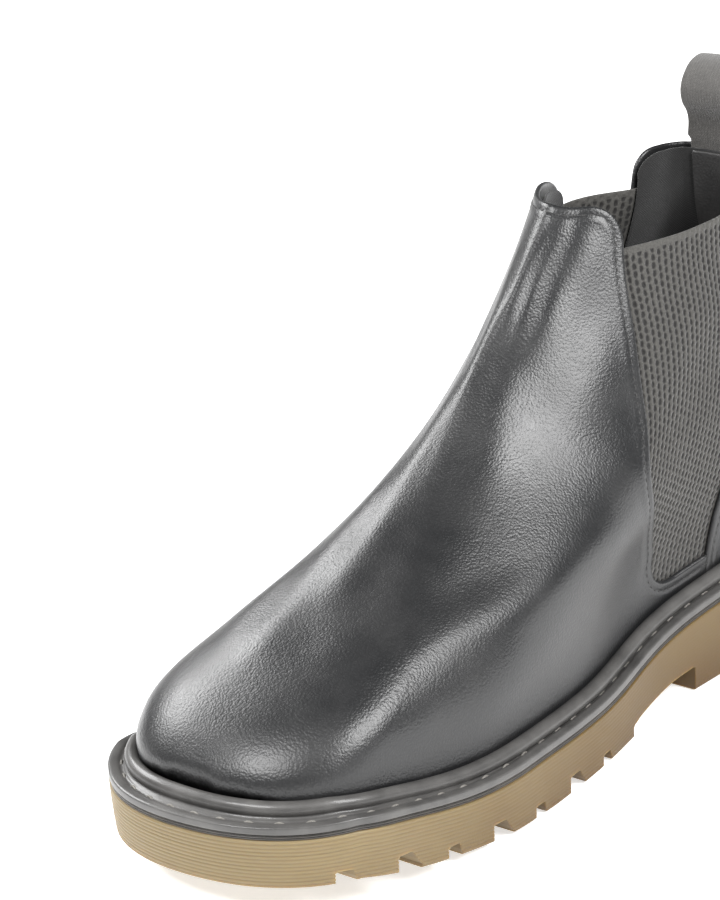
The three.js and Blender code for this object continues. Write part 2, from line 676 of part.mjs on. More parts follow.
for (let k = 0; k < 5; k += 1) {
  const y = firstNotch + LUG_PITCH * (0.5 - 0.5 * k) - 9;
  const z = groundHeight(y);
  const outline = [[y - 2.5, z - 3], [y + 2.5, z - 3], [y + 2, z + 4], [y - 2, z + 4]];
  outsole = outsole.subtract(prism(outline, -26, 20));
}
addPiece("outsole", meshOf(outsole), amberRubber);

// ---- pull loop: a teardrop of webbing that folds about the top of the collar ----
const rootOuter = grid[LAST_GRID_ROW][0].clone().addScaledVector(offsets[LAST_GRID_ROW][0], -betweenTop);
const rootInner = grid[LAST_GRID_ROW][0].clone().addScaledVector(offsets[LAST_GRID_ROW][0], -betweenBottom);
const loopRoot = new THREE.Vector3().addVectors(rootOuter, rootInner).multiplyScalar(0.5);
function teardrop(shrink) {
  // Half outline from the root up one leg, over the top, and down the other, in (across, up).
  const up = [0, 0.12, 0.3, 0.52, 0.74, 0.9, 1];
  const across = [0.1, 0.14, 0.5, 0.9, 1, 0.74, 0];
  const points = [];
  const top = LOOP_HEIGHT - shrink;
  const bottom = shrink * 2.2;
  const half = (k) => Math.max((across[k] * LOOP_BULGE) / 2 - shrink * 0.98, 0.25);
  for (let k = 0; k < up.length; k += 1) points.push([half(k), bottom + (top - bottom) * up[k]]);
  points[up.length - 1][0] = 0;
  const left = points.slice(0, -1).reverse().map(([x, z]) => [-x, z]);
  return [...points, ...left];
}
const loopShape = new THREE.Shape(teardrop(0).map(([x, z]) => new THREE.Vector2(x, z)));
loopShape.holes.push(new THREE.Path(teardrop(WEBBING).map(([x, z]) => new THREE.Vector2(x, z))));
const loopGeometry = new THREE.ExtrudeGeometry(loopShape, { depth: LOOP_WIDTH, bevelEnabled: false });
loopGeometry.rotateX(Math.PI / 2);
loopGeometry.rotateZ(Math.PI / 2);
loopGeometry.translate(-LOOP_WIDTH / 2, 0, 0);
const loop = addPiece("pull_loop", loopGeometry, webbing);
loop.position.set(0, loopRoot.y, grid[LAST_GRID_ROW][0].z + LOOP_CLEARANCE);

// The boot stands centred over the origin.
boot.updateMatrixWorld(true);
const extent = new THREE.Box3().setFromObject(boot);
const middleOfBoot = extent.getCenter(new THREE.Vector3());
boot.position.set(-middleOfBoot.x, -middleOfBoot.y, -extent.min.z);

export default boot;
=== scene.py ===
import bpy
import bmesh
import math
import numpy as np
from mathutils import Matrix, Vector
from mathutils.geometry import delaunay_2d_cdt
from mathutils.kdtree import KDTree


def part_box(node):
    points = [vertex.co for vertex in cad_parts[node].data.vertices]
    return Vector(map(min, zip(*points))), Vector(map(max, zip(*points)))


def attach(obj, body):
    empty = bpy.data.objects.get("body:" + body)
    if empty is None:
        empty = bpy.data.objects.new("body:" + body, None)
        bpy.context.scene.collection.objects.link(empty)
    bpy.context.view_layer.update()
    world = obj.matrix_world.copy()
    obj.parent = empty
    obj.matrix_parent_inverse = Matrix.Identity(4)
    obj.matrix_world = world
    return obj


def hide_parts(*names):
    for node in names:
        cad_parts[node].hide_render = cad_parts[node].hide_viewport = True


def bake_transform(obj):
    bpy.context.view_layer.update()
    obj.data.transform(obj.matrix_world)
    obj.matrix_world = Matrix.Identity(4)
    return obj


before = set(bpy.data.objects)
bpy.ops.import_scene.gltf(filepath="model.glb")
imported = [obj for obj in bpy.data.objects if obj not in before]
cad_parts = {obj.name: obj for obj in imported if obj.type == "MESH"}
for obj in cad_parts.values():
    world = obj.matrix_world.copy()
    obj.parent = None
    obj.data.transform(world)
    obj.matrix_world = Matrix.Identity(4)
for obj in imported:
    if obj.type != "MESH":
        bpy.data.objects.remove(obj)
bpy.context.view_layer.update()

# A left chelsea boot. The upper's layers are shells cut from one surface, the last, which is addressed by an angle
# round the boot (0 at the toe, + on the outer side) and v up the shaft (0 at the feather line, 1 at the front top).
# Welt, midsole and outsole are rings of points set out from the feather line. Sizes are in mm until finish_object.
MM = 0.001

# ---------------------------------------------------------------- sizes, mm
WELT_OUT = 8.2
TOE_WELT_OUT = 11.5
SOLE_THICKNESS = 23.0
HEEL_THICKNESS = 36.0
TOE_SPRING = 10.0
UPPER_WIDTH = 92.0
LEATHER = 1.5
ELASTIC = 1.1
LINING = 0.7

FEATHER_SPAN = 0.932
HEEL_END, TOE_END = 0.472, 0.46
sole_low, sole_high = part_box("outsole")
SOLE_LENGTH = ((sole_high.y - sole_low.y) / MM - WELT_OUT - TOE_WELT_OUT) / FEATHER_SPAN
loop_low, loop_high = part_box("pull_loop")
CENTRE_X = (loop_low.x + loop_high.x) / 2 / MM
SOLE_MIDDLE = (sole_high.y + sole_low.y) / 2 / MM
CENTRE_Y = SOLE_MIDDLE - ((HEEL_END - TOE_END) * SOLE_LENGTH + WELT_OUT - TOE_WELT_OUT) / 2
RING_FRONT_Z = 0.9 * 31.2
SHAFT_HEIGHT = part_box("vamp")[1].z / MM + 0.24 - RING_FRONT_Z


# ---------------------------------------------------------------- the last
def smooth(keys, values, t):
    """Cubic through keys at uneven stations, for arrays; straight beyond the ends."""
    keys = np.asarray(keys, float)
    values = np.asarray(values, float)
    t = np.asarray(t, float)
    k = np.clip(np.searchsorted(keys, t, side="left") - 1, 0, len(keys) - 2)
    slopes = np.empty(len(keys))
    slopes[1:-1] = (values[2:] - values[:-2]) / (keys[2:] - keys[:-2])
    slopes[0] = (values[1] - values[0]) / (keys[1] - keys[0])
    slopes[-1] = (values[-1] - values[-2]) / (keys[-1] - keys[-2])
    h = keys[k + 1] - keys[k]
    x = (t - keys[k]) / h
    c = np.clip(x, 0, 1)
    inside = (
        (1 + 2 * c) * (1 - c) ** 2 * values[k]
        + c * (1 - c) ** 2 * h * slopes[k]
        + c * c * (3 - 2 * c) * values[k + 1]
        + c * c * (c - 1) * h * slopes[k + 1]
    )
    beyond = np.where(x < 0, x * h * slopes[k], np.where(x > 1, (x - 1) * h * slopes[k + 1], 0))
    return inside + beyond


def fade(low, high, t):
    """0 below low, 1 above high, eased between."""
    x = np.clip((np.asarray(t, float) - low) / (high - low), 0, 1)
    return x * x * (3 - 2 * x)


LEVELS = [0, 0.07, 0.143, 0.286, 0.429, 0.571, 0.714, 0.857, 1]
RING = {
    "front": [-0.46, -0.456, -0.425, -0.348, -0.245, -0.105, -0.003, 0.0745, 0.148],
    "front_rise": [0, 0.07, 0.14, 0.24, 0.33, 0.48, 0.66, 0.822, 1],
    "back": [0.472, 0.481, 0.486, 0.489, 0.483, 0.473, 0.455, 0.442, 0.441],
    "lateral": [0.53, 0.534, 0.534, 0.525, 0.474, 0.408, 0.37, 0.325, 0.285],
    "medial": [0.471, 0.485, 0.485, 0.42, 0.395, 0.385, 0.357, 0.327, 0.32],
    "shaft": [0, 0, 0.05, 0.3, 0.58, 0.8, 1, 1, 1],
}
STATIONS = [0, 0.12, 0.25, 0.4, 0.55, 0.7, 0.82, 0.92, 1]
FOOT_LATERAL = [0.66, 0.675, 0.675, 0.7, 0.88, 1, 0.97, 0.93, 0.93]
FOOT_MEDIAL = [0.7, 0.7, 0.68, 0.66, 0.76, 0.94, 0.985, 0.98, 0.92]
FEATHER_Y = [-0.406, -0.367, -0.255, -0.134, 0.016, 0.167, 0.318, 0.471]
FEATHER_RISE = [0.82, 0.63, 0.05, 0, 0.02, 0.5, 0.75, 1]


def feather_height(y):
    at = np.clip(np.asarray(y, float) / SOLE_LENGTH, FEATHER_Y[0], FEATHER_Y[-1])
    top = np.where(at < -0.134, SOLE_THICKNESS + TOE_SPRING, HEEL_THICKNESS)
    return SOLE_THICKNESS + smooth(FEATHER_Y, FEATHER_RISE, at) * (top - SOLE_THICKNESS)


def ground_height(y):
    at = np.maximum(np.asarray(y, float) / SOLE_LENGTH, -0.406)
    lift = TOE_SPRING * smooth([-0.406, -0.315, -0.225, -0.134], [1, 0.42, 0.1, 0], at)
    return np.where(at > -0.134, 0, np.clip(lift, 0, TOE_SPRING))


def round_end(from_end, length):
    inner = np.clip(1 - from_end / length, 0, 1)
    return np.where(from_end >= length, 1, (1 - inner**2.3) ** (1 / 2.3))


def foot_width(table, s):
    return smooth(STATIONS, table, s) * round_end(s, 0.11) * round_end(1 - s, 0.115)


def shaft_width(s):
    widest = 0.465
    away = np.where(s < widest, (widest - s) / widest, (s - widest) / (1 - widest))
    power = np.where(s < widest, 2.3, 1.7)
    return np.clip(1 - np.clip(away, 0, 1) ** power, 0, 1) ** (1 / power)


def last_point(angle, v):
    """Outer face of the upper: angle in degrees from the toe (+ lateral), v up the shaft."""
    angle, v = np.broadcast_arrays(np.asarray(angle, float), np.asarray(v, float))
    angle = (angle + 180) % 360 - 180
    s = (1 + np.cos(np.radians(angle))) / 2
    at = {key: smooth(LEVELS, values, v) for key, values in RING.items()}
    mix = np.clip(at["shaft"], 0, 1)
    lateral = angle >= 0
    half = UPPER_WIDTH * np.where(lateral, at["lateral"], at["medial"])
    foot = np.where(lateral, foot_width(FOOT_LATERAL, s), foot_width(FOOT_MEDIAL, s))
    profile = (1 - mix) * foot + mix * shaft_width(s)
    sway = 6.5 * np.clip((s - 0.55) / 0.45, 0, 1) ** 1.5 * (1 - mix)
    y = SOLE_LENGTH * (at["back"] + (at["front"] - at["back"]) * s)
    back_z = HEEL_THICKNESS + SHAFT_HEIGHT * 0.89 * v
    z = back_z + (RING_FRONT_Z + SHAFT_HEIGHT * at["front_rise"] - back_z) * s
    y0 = SOLE_LENGTH * (HEEL_END - FEATHER_SPAN * s)
    ring0 = HEEL_THICKNESS + (RING_FRONT_Z - HEEL_THICKNESS) * s
    z = z + (feather_height(y0) - ring0) * np.clip(1 - v / 0.3, 0, 1) ** 2
    x = np.where(lateral, half, -half) * profile - sway
    rear_collar = np.exp(-(((s - 0.24) / 0.16) ** 2)) * fade(0.45, 0.92, v) * fade(0, 0.08, s)
    x = x + np.where(lateral, 0, 9.0 * rear_collar)
    x = x + 2.6 * fade(2, 32, -angle) * fade(0.8, 0.93, s) * (1 - fade(0.12, 0.3, v))
    return np.stack([x + CENTRE_X, y + CENTRE_Y, z], -1)


def last_frame(angle, v):
    """Point, unit outward normal, and the two tangents per degree and per unit of v."""
    da, dv = 0.15, 0.002
    point = last_point(angle, v)
    along = (last_point(angle + da, v) - last_point(angle - da, v)) / (2 * da)
    up = (last_point(angle, v + dv) - last_point(angle, v - dv)) / (2 * dv)
    normal = np.cross(along, up)
    normal /= np.linalg.norm(normal, axis=-1, keepdims=True) + 1e-12
    return point, normal, along, up


def gore_front_angle(v):
    return smooth([0, 0.12, 0.41, 0.615, 0.815, 0.92, 1.03], [107, 104.5, 91, 77.5, 63.5, 55.5, 51], v)


GORE_REAR = 118.5
GORE_BOTTOM = 0.06
GORE_TOP = 0.92
QUARTER_TOP = 1.012


def hollow(angle, v):
    """Soft outward swells and dents of worn leather over the foot, mm."""
    angle = (np.asarray(angle, float) + 180) % 360 - 180
    a = np.abs(angle)

    def patch(a0, v0, wa, wv):
        return np.exp(-(((angle - a0) / wa) ** 2) - (((v - v0) / wv) ** 2))

    swell = 1.1 * patch(60, 0.33, 22, 0.12) - 1.3 * patch(40, 0.72, 14, 0.22)
    swell += -1.2 * patch(-42, 0.7, 14, 0.22) + 0.9 * patch(-60, 0.33, 22, 0.12)
    swell += 1.0 * np.exp(-(((v - 0.17) / 0.06) ** 2) - (a / 60) ** 2)
    swell += 0.7 * patch(62, 0.12, 20, 0.08) - 0.8 * patch(95, 0.2, 14, 0.12)
    swell += 0.9 * patch(-10, 0.8, 12, 0.2) - 1.5 * patch(15, 0.86, 10, 0.2) + 0.9 * patch(38, 0.85, 12, 0.2)
    swell += 0.5 * np.exp(-((a / 16) ** 2)) * fade(0.35, 0.6, v) * (1 - fade(0.9, 1.0, v))
    folds = np.sin(angle * 0.21 + 9 * v + 1.2 * np.sin(angle * 0.06)) * np.sin(v * 23 + angle * 0.03)
    swell += 0.28 * folds * fade(0.2, 0.35, v) * (1 - fade(0.85, 1.0, v))
    return swell * fade(0.02, 0.12, v)


# ---------------------------------------------------------------- mesh helpers
def finish_object(name, verts_mm, faces, body, material, replaced=(), uv=None):
    """A smooth-shaded piece from points in mm, riding on a body and standing for CAD nodes."""
    mesh = bpy.data.meshes.new(name)
    mesh.from_pydata((np.asarray(verts_mm) * MM).tolist(), [], [tuple(int(i) for i in f) for f in faces])
    mesh.update()
    if uv is not None:
        corner = np.empty(len(mesh.loops), int)
        mesh.loops.foreach_get("vertex_index", corner)
        layer = mesh.uv_layers.new(name="UVMap")
        layer.data.foreach_set("uv", (np.asarray(uv)[corner] * MM).ravel())
    mesh.polygons.foreach_set("use_smooth", [True] * len(mesh.polygons))
    mesh.materials.append(material)
    piece = bpy.data.objects.new(name, mesh)
    bpy.context.scene.collection.objects.link(piece)
    if body:
        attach(piece, body)
    if replaced:
        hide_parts(*replaced)
    return piece


def face_outward(mesh):
    """Turns a closed mesh's faces outward."""
    turned = bmesh.new()
    turned.from_mesh(mesh)
    bmesh.ops.recalc_face_normals(turned, faces=turned.faces)
    turned.to_mesh(mesh)
    turned.free()


def pad_faces(rows, columns):
    """Faces of a closed pad made of two matching grids joined round their rim."""
    size = rows * columns
    faces = []
    for j in range(rows - 1):
        for i in range(columns - 1):
            a = j * columns + i
            faces.append((a, a + 1, a + columns + 1, a + columns))
            faces.append((a + size, a + columns + size, a + columns + 1 + size, a + 1 + size))
    rim = list(range(columns)) + [j * columns + columns - 1 for j in range(1, rows)]
    rim += [(rows - 1) * columns + i for i in range(columns - 2, -1, -1)]
    rim += [j * columns for j in range(rows - 2, 0, -1)]
    faces += [(b, a, a + size, b + size) for a, b in zip(rim, rim[1:] + rim[:1])]
    return faces


def tree_over(points):
    """A search tree over points, in their order."""
    tree = KDTree(len(points))
    for k, p in enumerate(points):
        tree.insert(p, k)
    tree.balance()
    return tree


def steps_for(moves, along, up):
    """Changes of angle and v that shift points on the last by moves in mm."""
    aa, ab, bb = (along * along).sum(1), (along * up).sum(1), (up * up).sum(1)
    ma, mb = (moves * along).sum(1), (moves * up).sum(1)
    det = aa * bb - ab * ab
    return np.stack([(bb * ma - ab * mb) / det, (aa * mb - ab * ma) / det], -1)


def bend(start, corner, end, steps=8):
    """Rounded corner from start to end, pulled towards corner."""
    t = np.linspace(0, 1, steps + 1)[:, None]
    p0, p1, p2 = (np.asarray(p, float) for p in (start, corner, end))
    return (1 - t) ** 2 * p0 + 2 * t * (1 - t) * p1 + t * t * p2


def even_loop(loop, spacing):
    """Points evenly along a closed outline on the last, about spacing mm apart."""
    loop = np.asarray(loop, float)
    dense = []
    for a, b in zip(loop, np.roll(loop, -1, 0)):
        gap = np.linalg.norm(last_point(*a) - last_point(*b))
        n = max(1, int(math.ceil(gap / 0.5)))
        dense.extend(a + (b - a) * k / n for k in range(n))
    dense = np.array(dense)
    points = last_point(dense[:, 0], dense[:, 1])
    steps = np.linalg.norm(np.roll(points, -1, 0) - points, axis=1)
    length = np.concatenate([[0], np.cumsum(steps)])
    count = int(length[-1] / spacing)
    at = np.arange(count) * length[-1] / count
    closed = np.vstack([dense, dense[:1]])
    return np.stack([np.interp(at, length, closed[:, k]) for k in (0, 1)], -1)


EDGE_BANDS = (0.06, 0.2, 0.42, 0.75, 1.3, 2.1, 2.75, 3.1, 3.45, 4.2, 5.4, 6.8)


def run_table(angles, levels):
    """Distance along the last from the first angle to each angle, one row per level, mm."""
    spots = last_point(angles[None, :], levels[:, None])
    steps = np.linalg.norm(np.diff(spots, axis=1), axis=2)
    return np.concatenate([np.zeros((len(levels), 1)), np.cumsum(steps, axis=1)], axis=1)


def between_entries(table, column, level):
    """Table values at fractional columns and levels."""
    i, j = column.astype(int), level.astype(int)
    s, t = column - i, level - j
    low = table[j, i] * (1 - s) + table[j, i + 1] * s
    high = table[j + 1, i] * (1 - s) + table[j + 1, i + 1] * s
    return low * (1 - t) + high * t


def laid_flat(flat, middle):
    """Points on the last laid out on a plane at nearly their true distances, mm."""
    reach = 140
    angles = middle + np.arange(-reach, reach + 1.0)
    levels = np.linspace(-0.02, 1.04, 28)
    run = run_table(angles, levels)
    run -= run[:, [reach]]
    column = np.clip(flat[:, 0] - angles[0], 0, 2 * reach - 0.001)
    level = np.clip((flat[:, 1] - levels[0]) / (levels[1] - levels[0]), 0, len(levels) - 1.001)
    return np.stack([between_entries(run, column, level), flat[:, 1] * SHAFT_HEIGHT], -1)


def evened(points, faces):
    """The same triangles with long thin pairs turned to their better diagonal."""
    mesh = bmesh.new()
    spots = [mesh.verts.new(p) for p in points]
    for f in faces:
        mesh.faces.new([spots[k] for k in f])
    mesh.verts.index_update()
    inside = [e for e in mesh.edges if len(e.link_faces) == 2]
    bmesh.ops.beautify_fill(mesh, faces=mesh.faces[:], edges=inside, use_restrict_tag=False, method="AREA")
    out = [tuple(v.index for v in f.verts) for f in mesh.faces]
    mesh.free()
    return out


def sheet_on_last(loop, spacing=1.3, grid=(1.2, 0.0145), bands=EDGE_BANDS):
    """Triangles over an outline on the last. Returns angle, v and distance to the outline per vertex."""
    edge = even_loop(loop, spacing)
    point, normal, along, up = last_frame(edge[:, 0], edge[:, 1])
    ahead = np.roll(point, -1, 0) - np.roll(point, 1, 0)
    inward = np.cross(normal, ahead)
    inward /= np.linalg.norm(inward, axis=1, keepdims=True)
    step = steps_for(inward, along, up)
    tree = tree_over(point)
    picked = [edge]
    for band in bands:
        ring = edge + step * band
        ring_points = last_point(ring[:, 0], ring[:, 1])
        keep = [tree.find(p)[2] > band * 0.93 for p in ring_points]
        picked.append(ring[np.array(keep)])
    low, high = edge.min(0), edge.max(0)
    a = np.arange(low[0], high[0], grid[0])
    v = np.arange(low[1], high[1], grid[1])
    ga, gv = np.meshgrid(a, v)
    ga = ga + (np.arange(len(v)) % 2)[:, None] * grid[0] / 2
    inner = np.stack([ga.ravel(), gv.ravel()], -1)
    inner = inner[inside_outline(inner, edge)]
    far = np.array([tree.find(p)[2] > bands[-1] + 0.9 for p in last_point(inner[:, 0], inner[:, 1])], bool)
    picked.append(inner[far])
    flat = np.vstack(picked)
    middle = (low[0] + high[0]) / 2
    plane = [Vector(p) for p in laid_flat(flat, middle)]
    result = delaunay_2d_cdt(plane, [], [list(range(len(edge)))], 1, 1e-5)
    sweep = np.linspace(low[0] - 2, high[0] + 2, 4000)
    out = []
    for spot, source in zip(result[0], result[3]):
        if source:
            out.append(flat[source[0]])
            continue
        level = spot[1] / SHAFT_HEIGHT
        across = laid_flat(np.stack([sweep, np.full(4000, level)], -1), middle)[:, 0]
        out.append(np.array([np.interp(spot[0], across, sweep), level]))
    out = np.array(out)
    final = last_point(out[:, 0], out[:, 1])
    faces = evened(final, [tuple(f) for f in result[2]])
    away = np.array([tree.find(p)[2] for p in final])
    rim = set()
    counts = {}
    for f in faces:
        for i, j in zip(f, f[1:] + f[:1]):
            key = (min(i, j), max(i, j))
            counts[key] = counts.get(key, 0) + 1
    for (i, j), n in counts.items():
        if n == 1:
            rim.update((i, j))
    away[list(rim)] = 0.0
    return out, away, faces, rim


def inside_outline(points, outline):
    inside = np.zeros(len(points), bool)
    x, y = points[:, 0], points[:, 1]
    for (x1, y1), (x2, y2) in zip(outline, np.roll(outline, -1, 0)):
        cross = (y1 > y) != (y2 > y)
        with np.errstate(divide="ignore", invalid="ignore"):
            at = (x2 - x1) * (y - y1) / (y2 - y1) + x1
        inside ^= cross & (x < at)
    return inside


def nearest_to(loop_part, points):
    """Distance from each point to a run of the outline, mm."""
    run = []
    for a, b in zip(loop_part[:-1], loop_part[1:]):
        gap = np.linalg.norm(last_point(*a) - last_point(*b))
        n = max(1, int(math.ceil(gap / 0.4)))
        run.extend(np.asarray(a) + (np.asarray(b) - np.asarray(a)) * k / n for k in range(n))
    run = np.array(run)
    tree = tree_over(last_point(run[:, 0], run[:, 1]))
    return np.array([tree.find(p)[2] for p in points])


def shell(
    name, loop, depth, thickness, slot, material, replaced, relief=None, finished=None, uv_of=None, **spacing
):
    """A closed, round-edged layer of the upper between depth and depth + thickness under the last's face."""
    flat, away, faces, rim = sheet_on_last(loop, **spacing)
    angle, v = flat[:, 0], flat[:, 1]
    point, normal, _, _ = last_frame(angle, v)
    base = hollow(angle, v)
    radius = thickness / 2
    drop = np.clip(radius - away, 0, radius)
    half = np.sqrt(np.clip(radius**2 - drop**2, 0, None))
    raised = np.zeros(len(angle))
    if relief is not None:
        from_edge = nearest_to(finished, point) if finished is not None else away
        raised = relief(flat, point, from_edge) * np.clip(away / 0.8, 0, 1)
    middle = depth + radius
    outer = point + normal * (base - middle + half + raised)[:, None]
    inner = point + normal * (base - middle - half)[:, None]
    count = len(point)
    index = np.arange(count) + count
    for k in rim:
        index[k] = k
    outer[list(rim)] = (point + normal * (base - middle)[:, None])[list(rim)]
    faces_all = list(faces) + [tuple(int(index[k]) for k in reversed(f)) for f in faces]
    verts = np.vstack([outer, inner])
    used = np.unique(np.array([k for f in faces_all for k in f]))
    renumber = np.full(len(verts), -1)
    renumber[used] = np.arange(len(used))
    faces_all = [tuple(int(renumber[k]) for k in f) for f in faces_all]
    uv = None if uv_of is None else np.tile(uv_of(flat, point), (2, 1))[used]
    piece = finish_object(name, verts[used], faces_all, "boot", material, replaced, uv=uv)
    corners = outer[np.array(faces)]
    doubled = np.cross(corners[:, 1] - corners[:, 0], corners[:, 2] - corners[:, 0])
    piece["face_area"] = float(np.linalg.norm(doubled, axis=1).sum() / 2e6)
    return piece


# ---------------------------------------------------------------- materials
def tree_of(name):
    material = bpy.data.materials.new(name)
    material.use_nodes = True
    nodes, links = material.node_tree.nodes, material.node_tree.links
    nodes.clear()
    out = nodes.new("ShaderNodeOutputMaterial")
    shader = nodes.new("ShaderNodeBsdfPrincipled")
    links.new(shader.outputs["BSDF"], out.inputs["Surface"])
    return material, nodes, links, shader


def new_group(name, inputs, outputs):
    group = bpy.data.node_groups.new(name, "ShaderNodeTree")
    for label, kind, default in inputs:
        socket = group.interface.new_socket(label, in_out="INPUT", socket_type=kind)
        if default is not None:
            socket.default_value = default
    for label, kind in outputs:
        group.interface.new_socket(label, in_out="OUTPUT", socket_type=kind)
    return group, group.nodes.new("NodeGroupInput"), group.nodes.new("NodeGroupOutput")


def math_node(nodes, links, operation, a, b=None, c=None, clamp=False):
    node = nodes.new("ShaderNodeMath")
    node.operation = operation
    node.use_clamp = clamp
    for k, value in enumerate((a, b, c)):
        if value is None:
            continue
        if isinstance(value, (int, float)):
            node.inputs[k].default_value = value
        else:
            links.new(value, node.inputs[k])
    return node.outputs[0]


def noise(nodes, links, vector, scale, detail=2.0):
    node = nodes.new("ShaderNodeTexNoise")
    node.inputs["Scale"].default_value = scale
    node.inputs["Detail"].default_value = detail
    links.new(vector, node.inputs["Vector"])
    return node


FLOAT, VECTOR = "NodeSocketFloat", "NodeSocketVector"


def grain_group():
    """Pebbled leather grain and slow colour clouding, on metre coordinates."""
    group, gin, gout = new_group(
        "leather_grain",
        [("Position", VECTOR, None), ("Pebble Scale", FLOAT, 1300.0), ("Cloud Scale", FLOAT, 45.0)],
        [("Height", FLOAT), ("Clouding", FLOAT), ("Pores", FLOAT)],
    )
    n, l = group.nodes, group.links
    warp = noise(n, l, gin.outputs["Position"], 260.0)
    push = n.new("ShaderNodeVectorMath")
    push.operation = "MULTIPLY_ADD"
    push.inputs[1].default_value = (0.0011, 0.0011, 0.0011)
    l.new(warp.outputs["Color"], push.inputs[0])
    l.new(gin.outputs["Position"], push.inputs[2])
    cells = n.new("ShaderNodeTexVoronoi")
    cells.feature = "SMOOTH_F1"
    cells.inputs["Smoothness"].default_value = 0.55
    l.new(push.outputs[0], cells.inputs["Vector"])
    l.new(gin.outputs["Pebble Scale"], cells.inputs["Scale"])
    pebble = math_node(n, l, "SUBTRACT", 1.0, cells.outputs["Distance"], clamp=True)
    fine = noise(n, l, gin.outputs["Position"], 2600.0)
    broad = noise(n, l, gin.outputs["Position"], 150.0, 3.0)
    cloud = n.new("ShaderNodeTexNoise")
    cloud.inputs["Detail"].default_value = 4.0
    l.new(gin.outputs["Position"], cloud.inputs["Vector"])
    l.new(gin.outputs["Cloud Scale"], cloud.inputs["Scale"])
    height = math_node(n, l, "MULTIPLY_ADD", fine.outputs["Fac"], 0.3, pebble)
    height = math_node(n, l, "MULTIPLY_ADD", broad.outputs["Fac"], 0.7, height)
    l.new(height, gout.inputs["Height"])
    l.new(cloud.outputs["Fac"], gout.inputs["Clouding"])
    l.new(math_node(n, l, "SUBTRACT", 1.0, pebble), gout.inputs["Pores"])
    return group


def weave_group():
    """Plain weave of two crossing sets of yarns; pitch in metres."""
    group, gin, gout = new_group(
        "cloth_weave",
        [("Across", FLOAT, 0.0), ("Along", FLOAT, 0.0), ("Pitch", FLOAT, 0.0008)],
        [("Height", FLOAT), ("Gap", FLOAT)],
    )
    n, l = group.nodes, group.links
    waves = []
    for label in ("Across", "Along"):
        turn = math_node(n, l, "DIVIDE", gin.outputs[label], gin.outputs["Pitch"])
        waves.append(math_node(n, l, "MULTIPLY", turn, 2 * math.pi))
    sines = [math_node(n, l, "SINE", w) for w in waves]
    product = math_node(n, l, "MULTIPLY", sines[0], sines[1])
    ribs = math_node(n, l, "ABSOLUTE", sines[1])
    height = math_node(n, l, "MULTIPLY_ADD", product, 0.5, ribs)
    l.new(height, gout.inputs["Height"])
    gap = math_node(n, l, "SUBTRACT", 0.75, math_node(n, l, "ABSOLUTE", product), clamp=True)
    l.new(gap, gout.inputs["Gap"])
    return group


def oval_group():
    """Staggered oval openings of a ribbed elastic; sizes in metres."""
    group, gin, gout = new_group(
        "elastic_ovals",
        [("Across", FLOAT, 0.0), ("Along", FLOAT, 0.0), ("Column", FLOAT, 0.0025), ("Row", FLOAT, 0.0024)],
        [("Opening", FLOAT), ("Height", FLOAT)],
    )
    n, l = group.nodes, group.links
    column = math_node(n, l, "DIVIDE", gin.outputs["Across"], gin.outputs["Column"])
    whole = math_node(n, l, "FLOOR", column)
    odd = math_node(n, l, "PINGPONG", whole, 1.0)
    row = math_node(n, l, "DIVIDE", gin.outputs["Along"], gin.outputs["Row"])
    row = math_node(n, l, "MULTIPLY_ADD", odd, 0.5, row)
    fx = math_node(n, l, "SUBTRACT", math_node(n, l, "FRACT", column), 0.5)
    fy = math_node(n, l, "SUBTRACT", math_node(n, l, "FRACT", row), 0.5)
    ex = math_node(n, l, "POWER", math_node(n, l, "DIVIDE", math_node(n, l, "ABSOLUTE", fx), 0.32), 2.0)
    ey = math_node(n, l, "POWER", math_node(n, l, "DIVIDE", math_node(n, l, "ABSOLUTE", fy), 0.47), 2.0)
    ring = math_node(n, l, "SQRT", math_node(n, l, "ADD", ex, ey))
    opening = n.new("ShaderNodeMapRange")
    opening.interpolation_type = "SMOOTHSTEP"
    opening.inputs["From Min"].default_value = 1.25
    opening.inputs["From Max"].default_value = 0.6
    l.new(ring, opening.inputs["Value"])
    below = math_node(n, l, "GREATER_THAN", gin.outputs["Along"], 0.0021)
    l.new(math_node(n, l, "MULTIPLY", opening.outputs["Result"], below), gout.inputs["Opening"])
    l.new(math_node(n, l, "MINIMUM", ring, 1.3), gout.inputs["Height"])
    return group


GRAIN = grain_group()
WEAVE = weave_group()
OVALS = oval_group()


def place(nodes, links, group, **values):
    node = nodes.new("ShaderNodeGroup")
    node.node_tree = group
    for label, value in values.items():
        socket = node.inputs[label.replace("_", " ")]
        if isinstance(value, (int, float)):
            socket.default_value = value
        else:
            links.new(value, socket)
    return node


def blend_colours(nodes, links, factor, first, second):
    mix = nodes.new("ShaderNodeMix")
    mix.data_type = "RGBA"
    links.new(factor, mix.inputs["Factor"])
    for socket, value in ((mix.inputs["A"], first), (mix.inputs["B"], second)):
        if isinstance(value, tuple):
            socket.default_value = (*value, 1.0)
        else:
            links.new(value, socket)
    return mix.outputs["Result"]


def ranged(nodes, links, value, low, high, to_low, to_high):
    node = nodes.new("ShaderNodeMapRange")
    for label, number in zip(("From Min", "From Max", "To Min", "To Max"), (low, high, to_low, to_high)):
        node.inputs[label].default_value = number
    links.new(value, node.inputs["Value"])
    return node.outputs["Result"]


def bump(nodes, links, shader, height, distance, strength=1.0):
    node = nodes.new("ShaderNodeBump")
    node.inputs["Strength"].default_value = strength
    node.inputs["Distance"].default_value = distance
    links.new(height, node.inputs["Height"])
    links.new(node.outputs["Normal"], shader.inputs["Normal"])


def object_position(nodes):
    return nodes.new("ShaderNodeTexCoord").outputs["Object"]


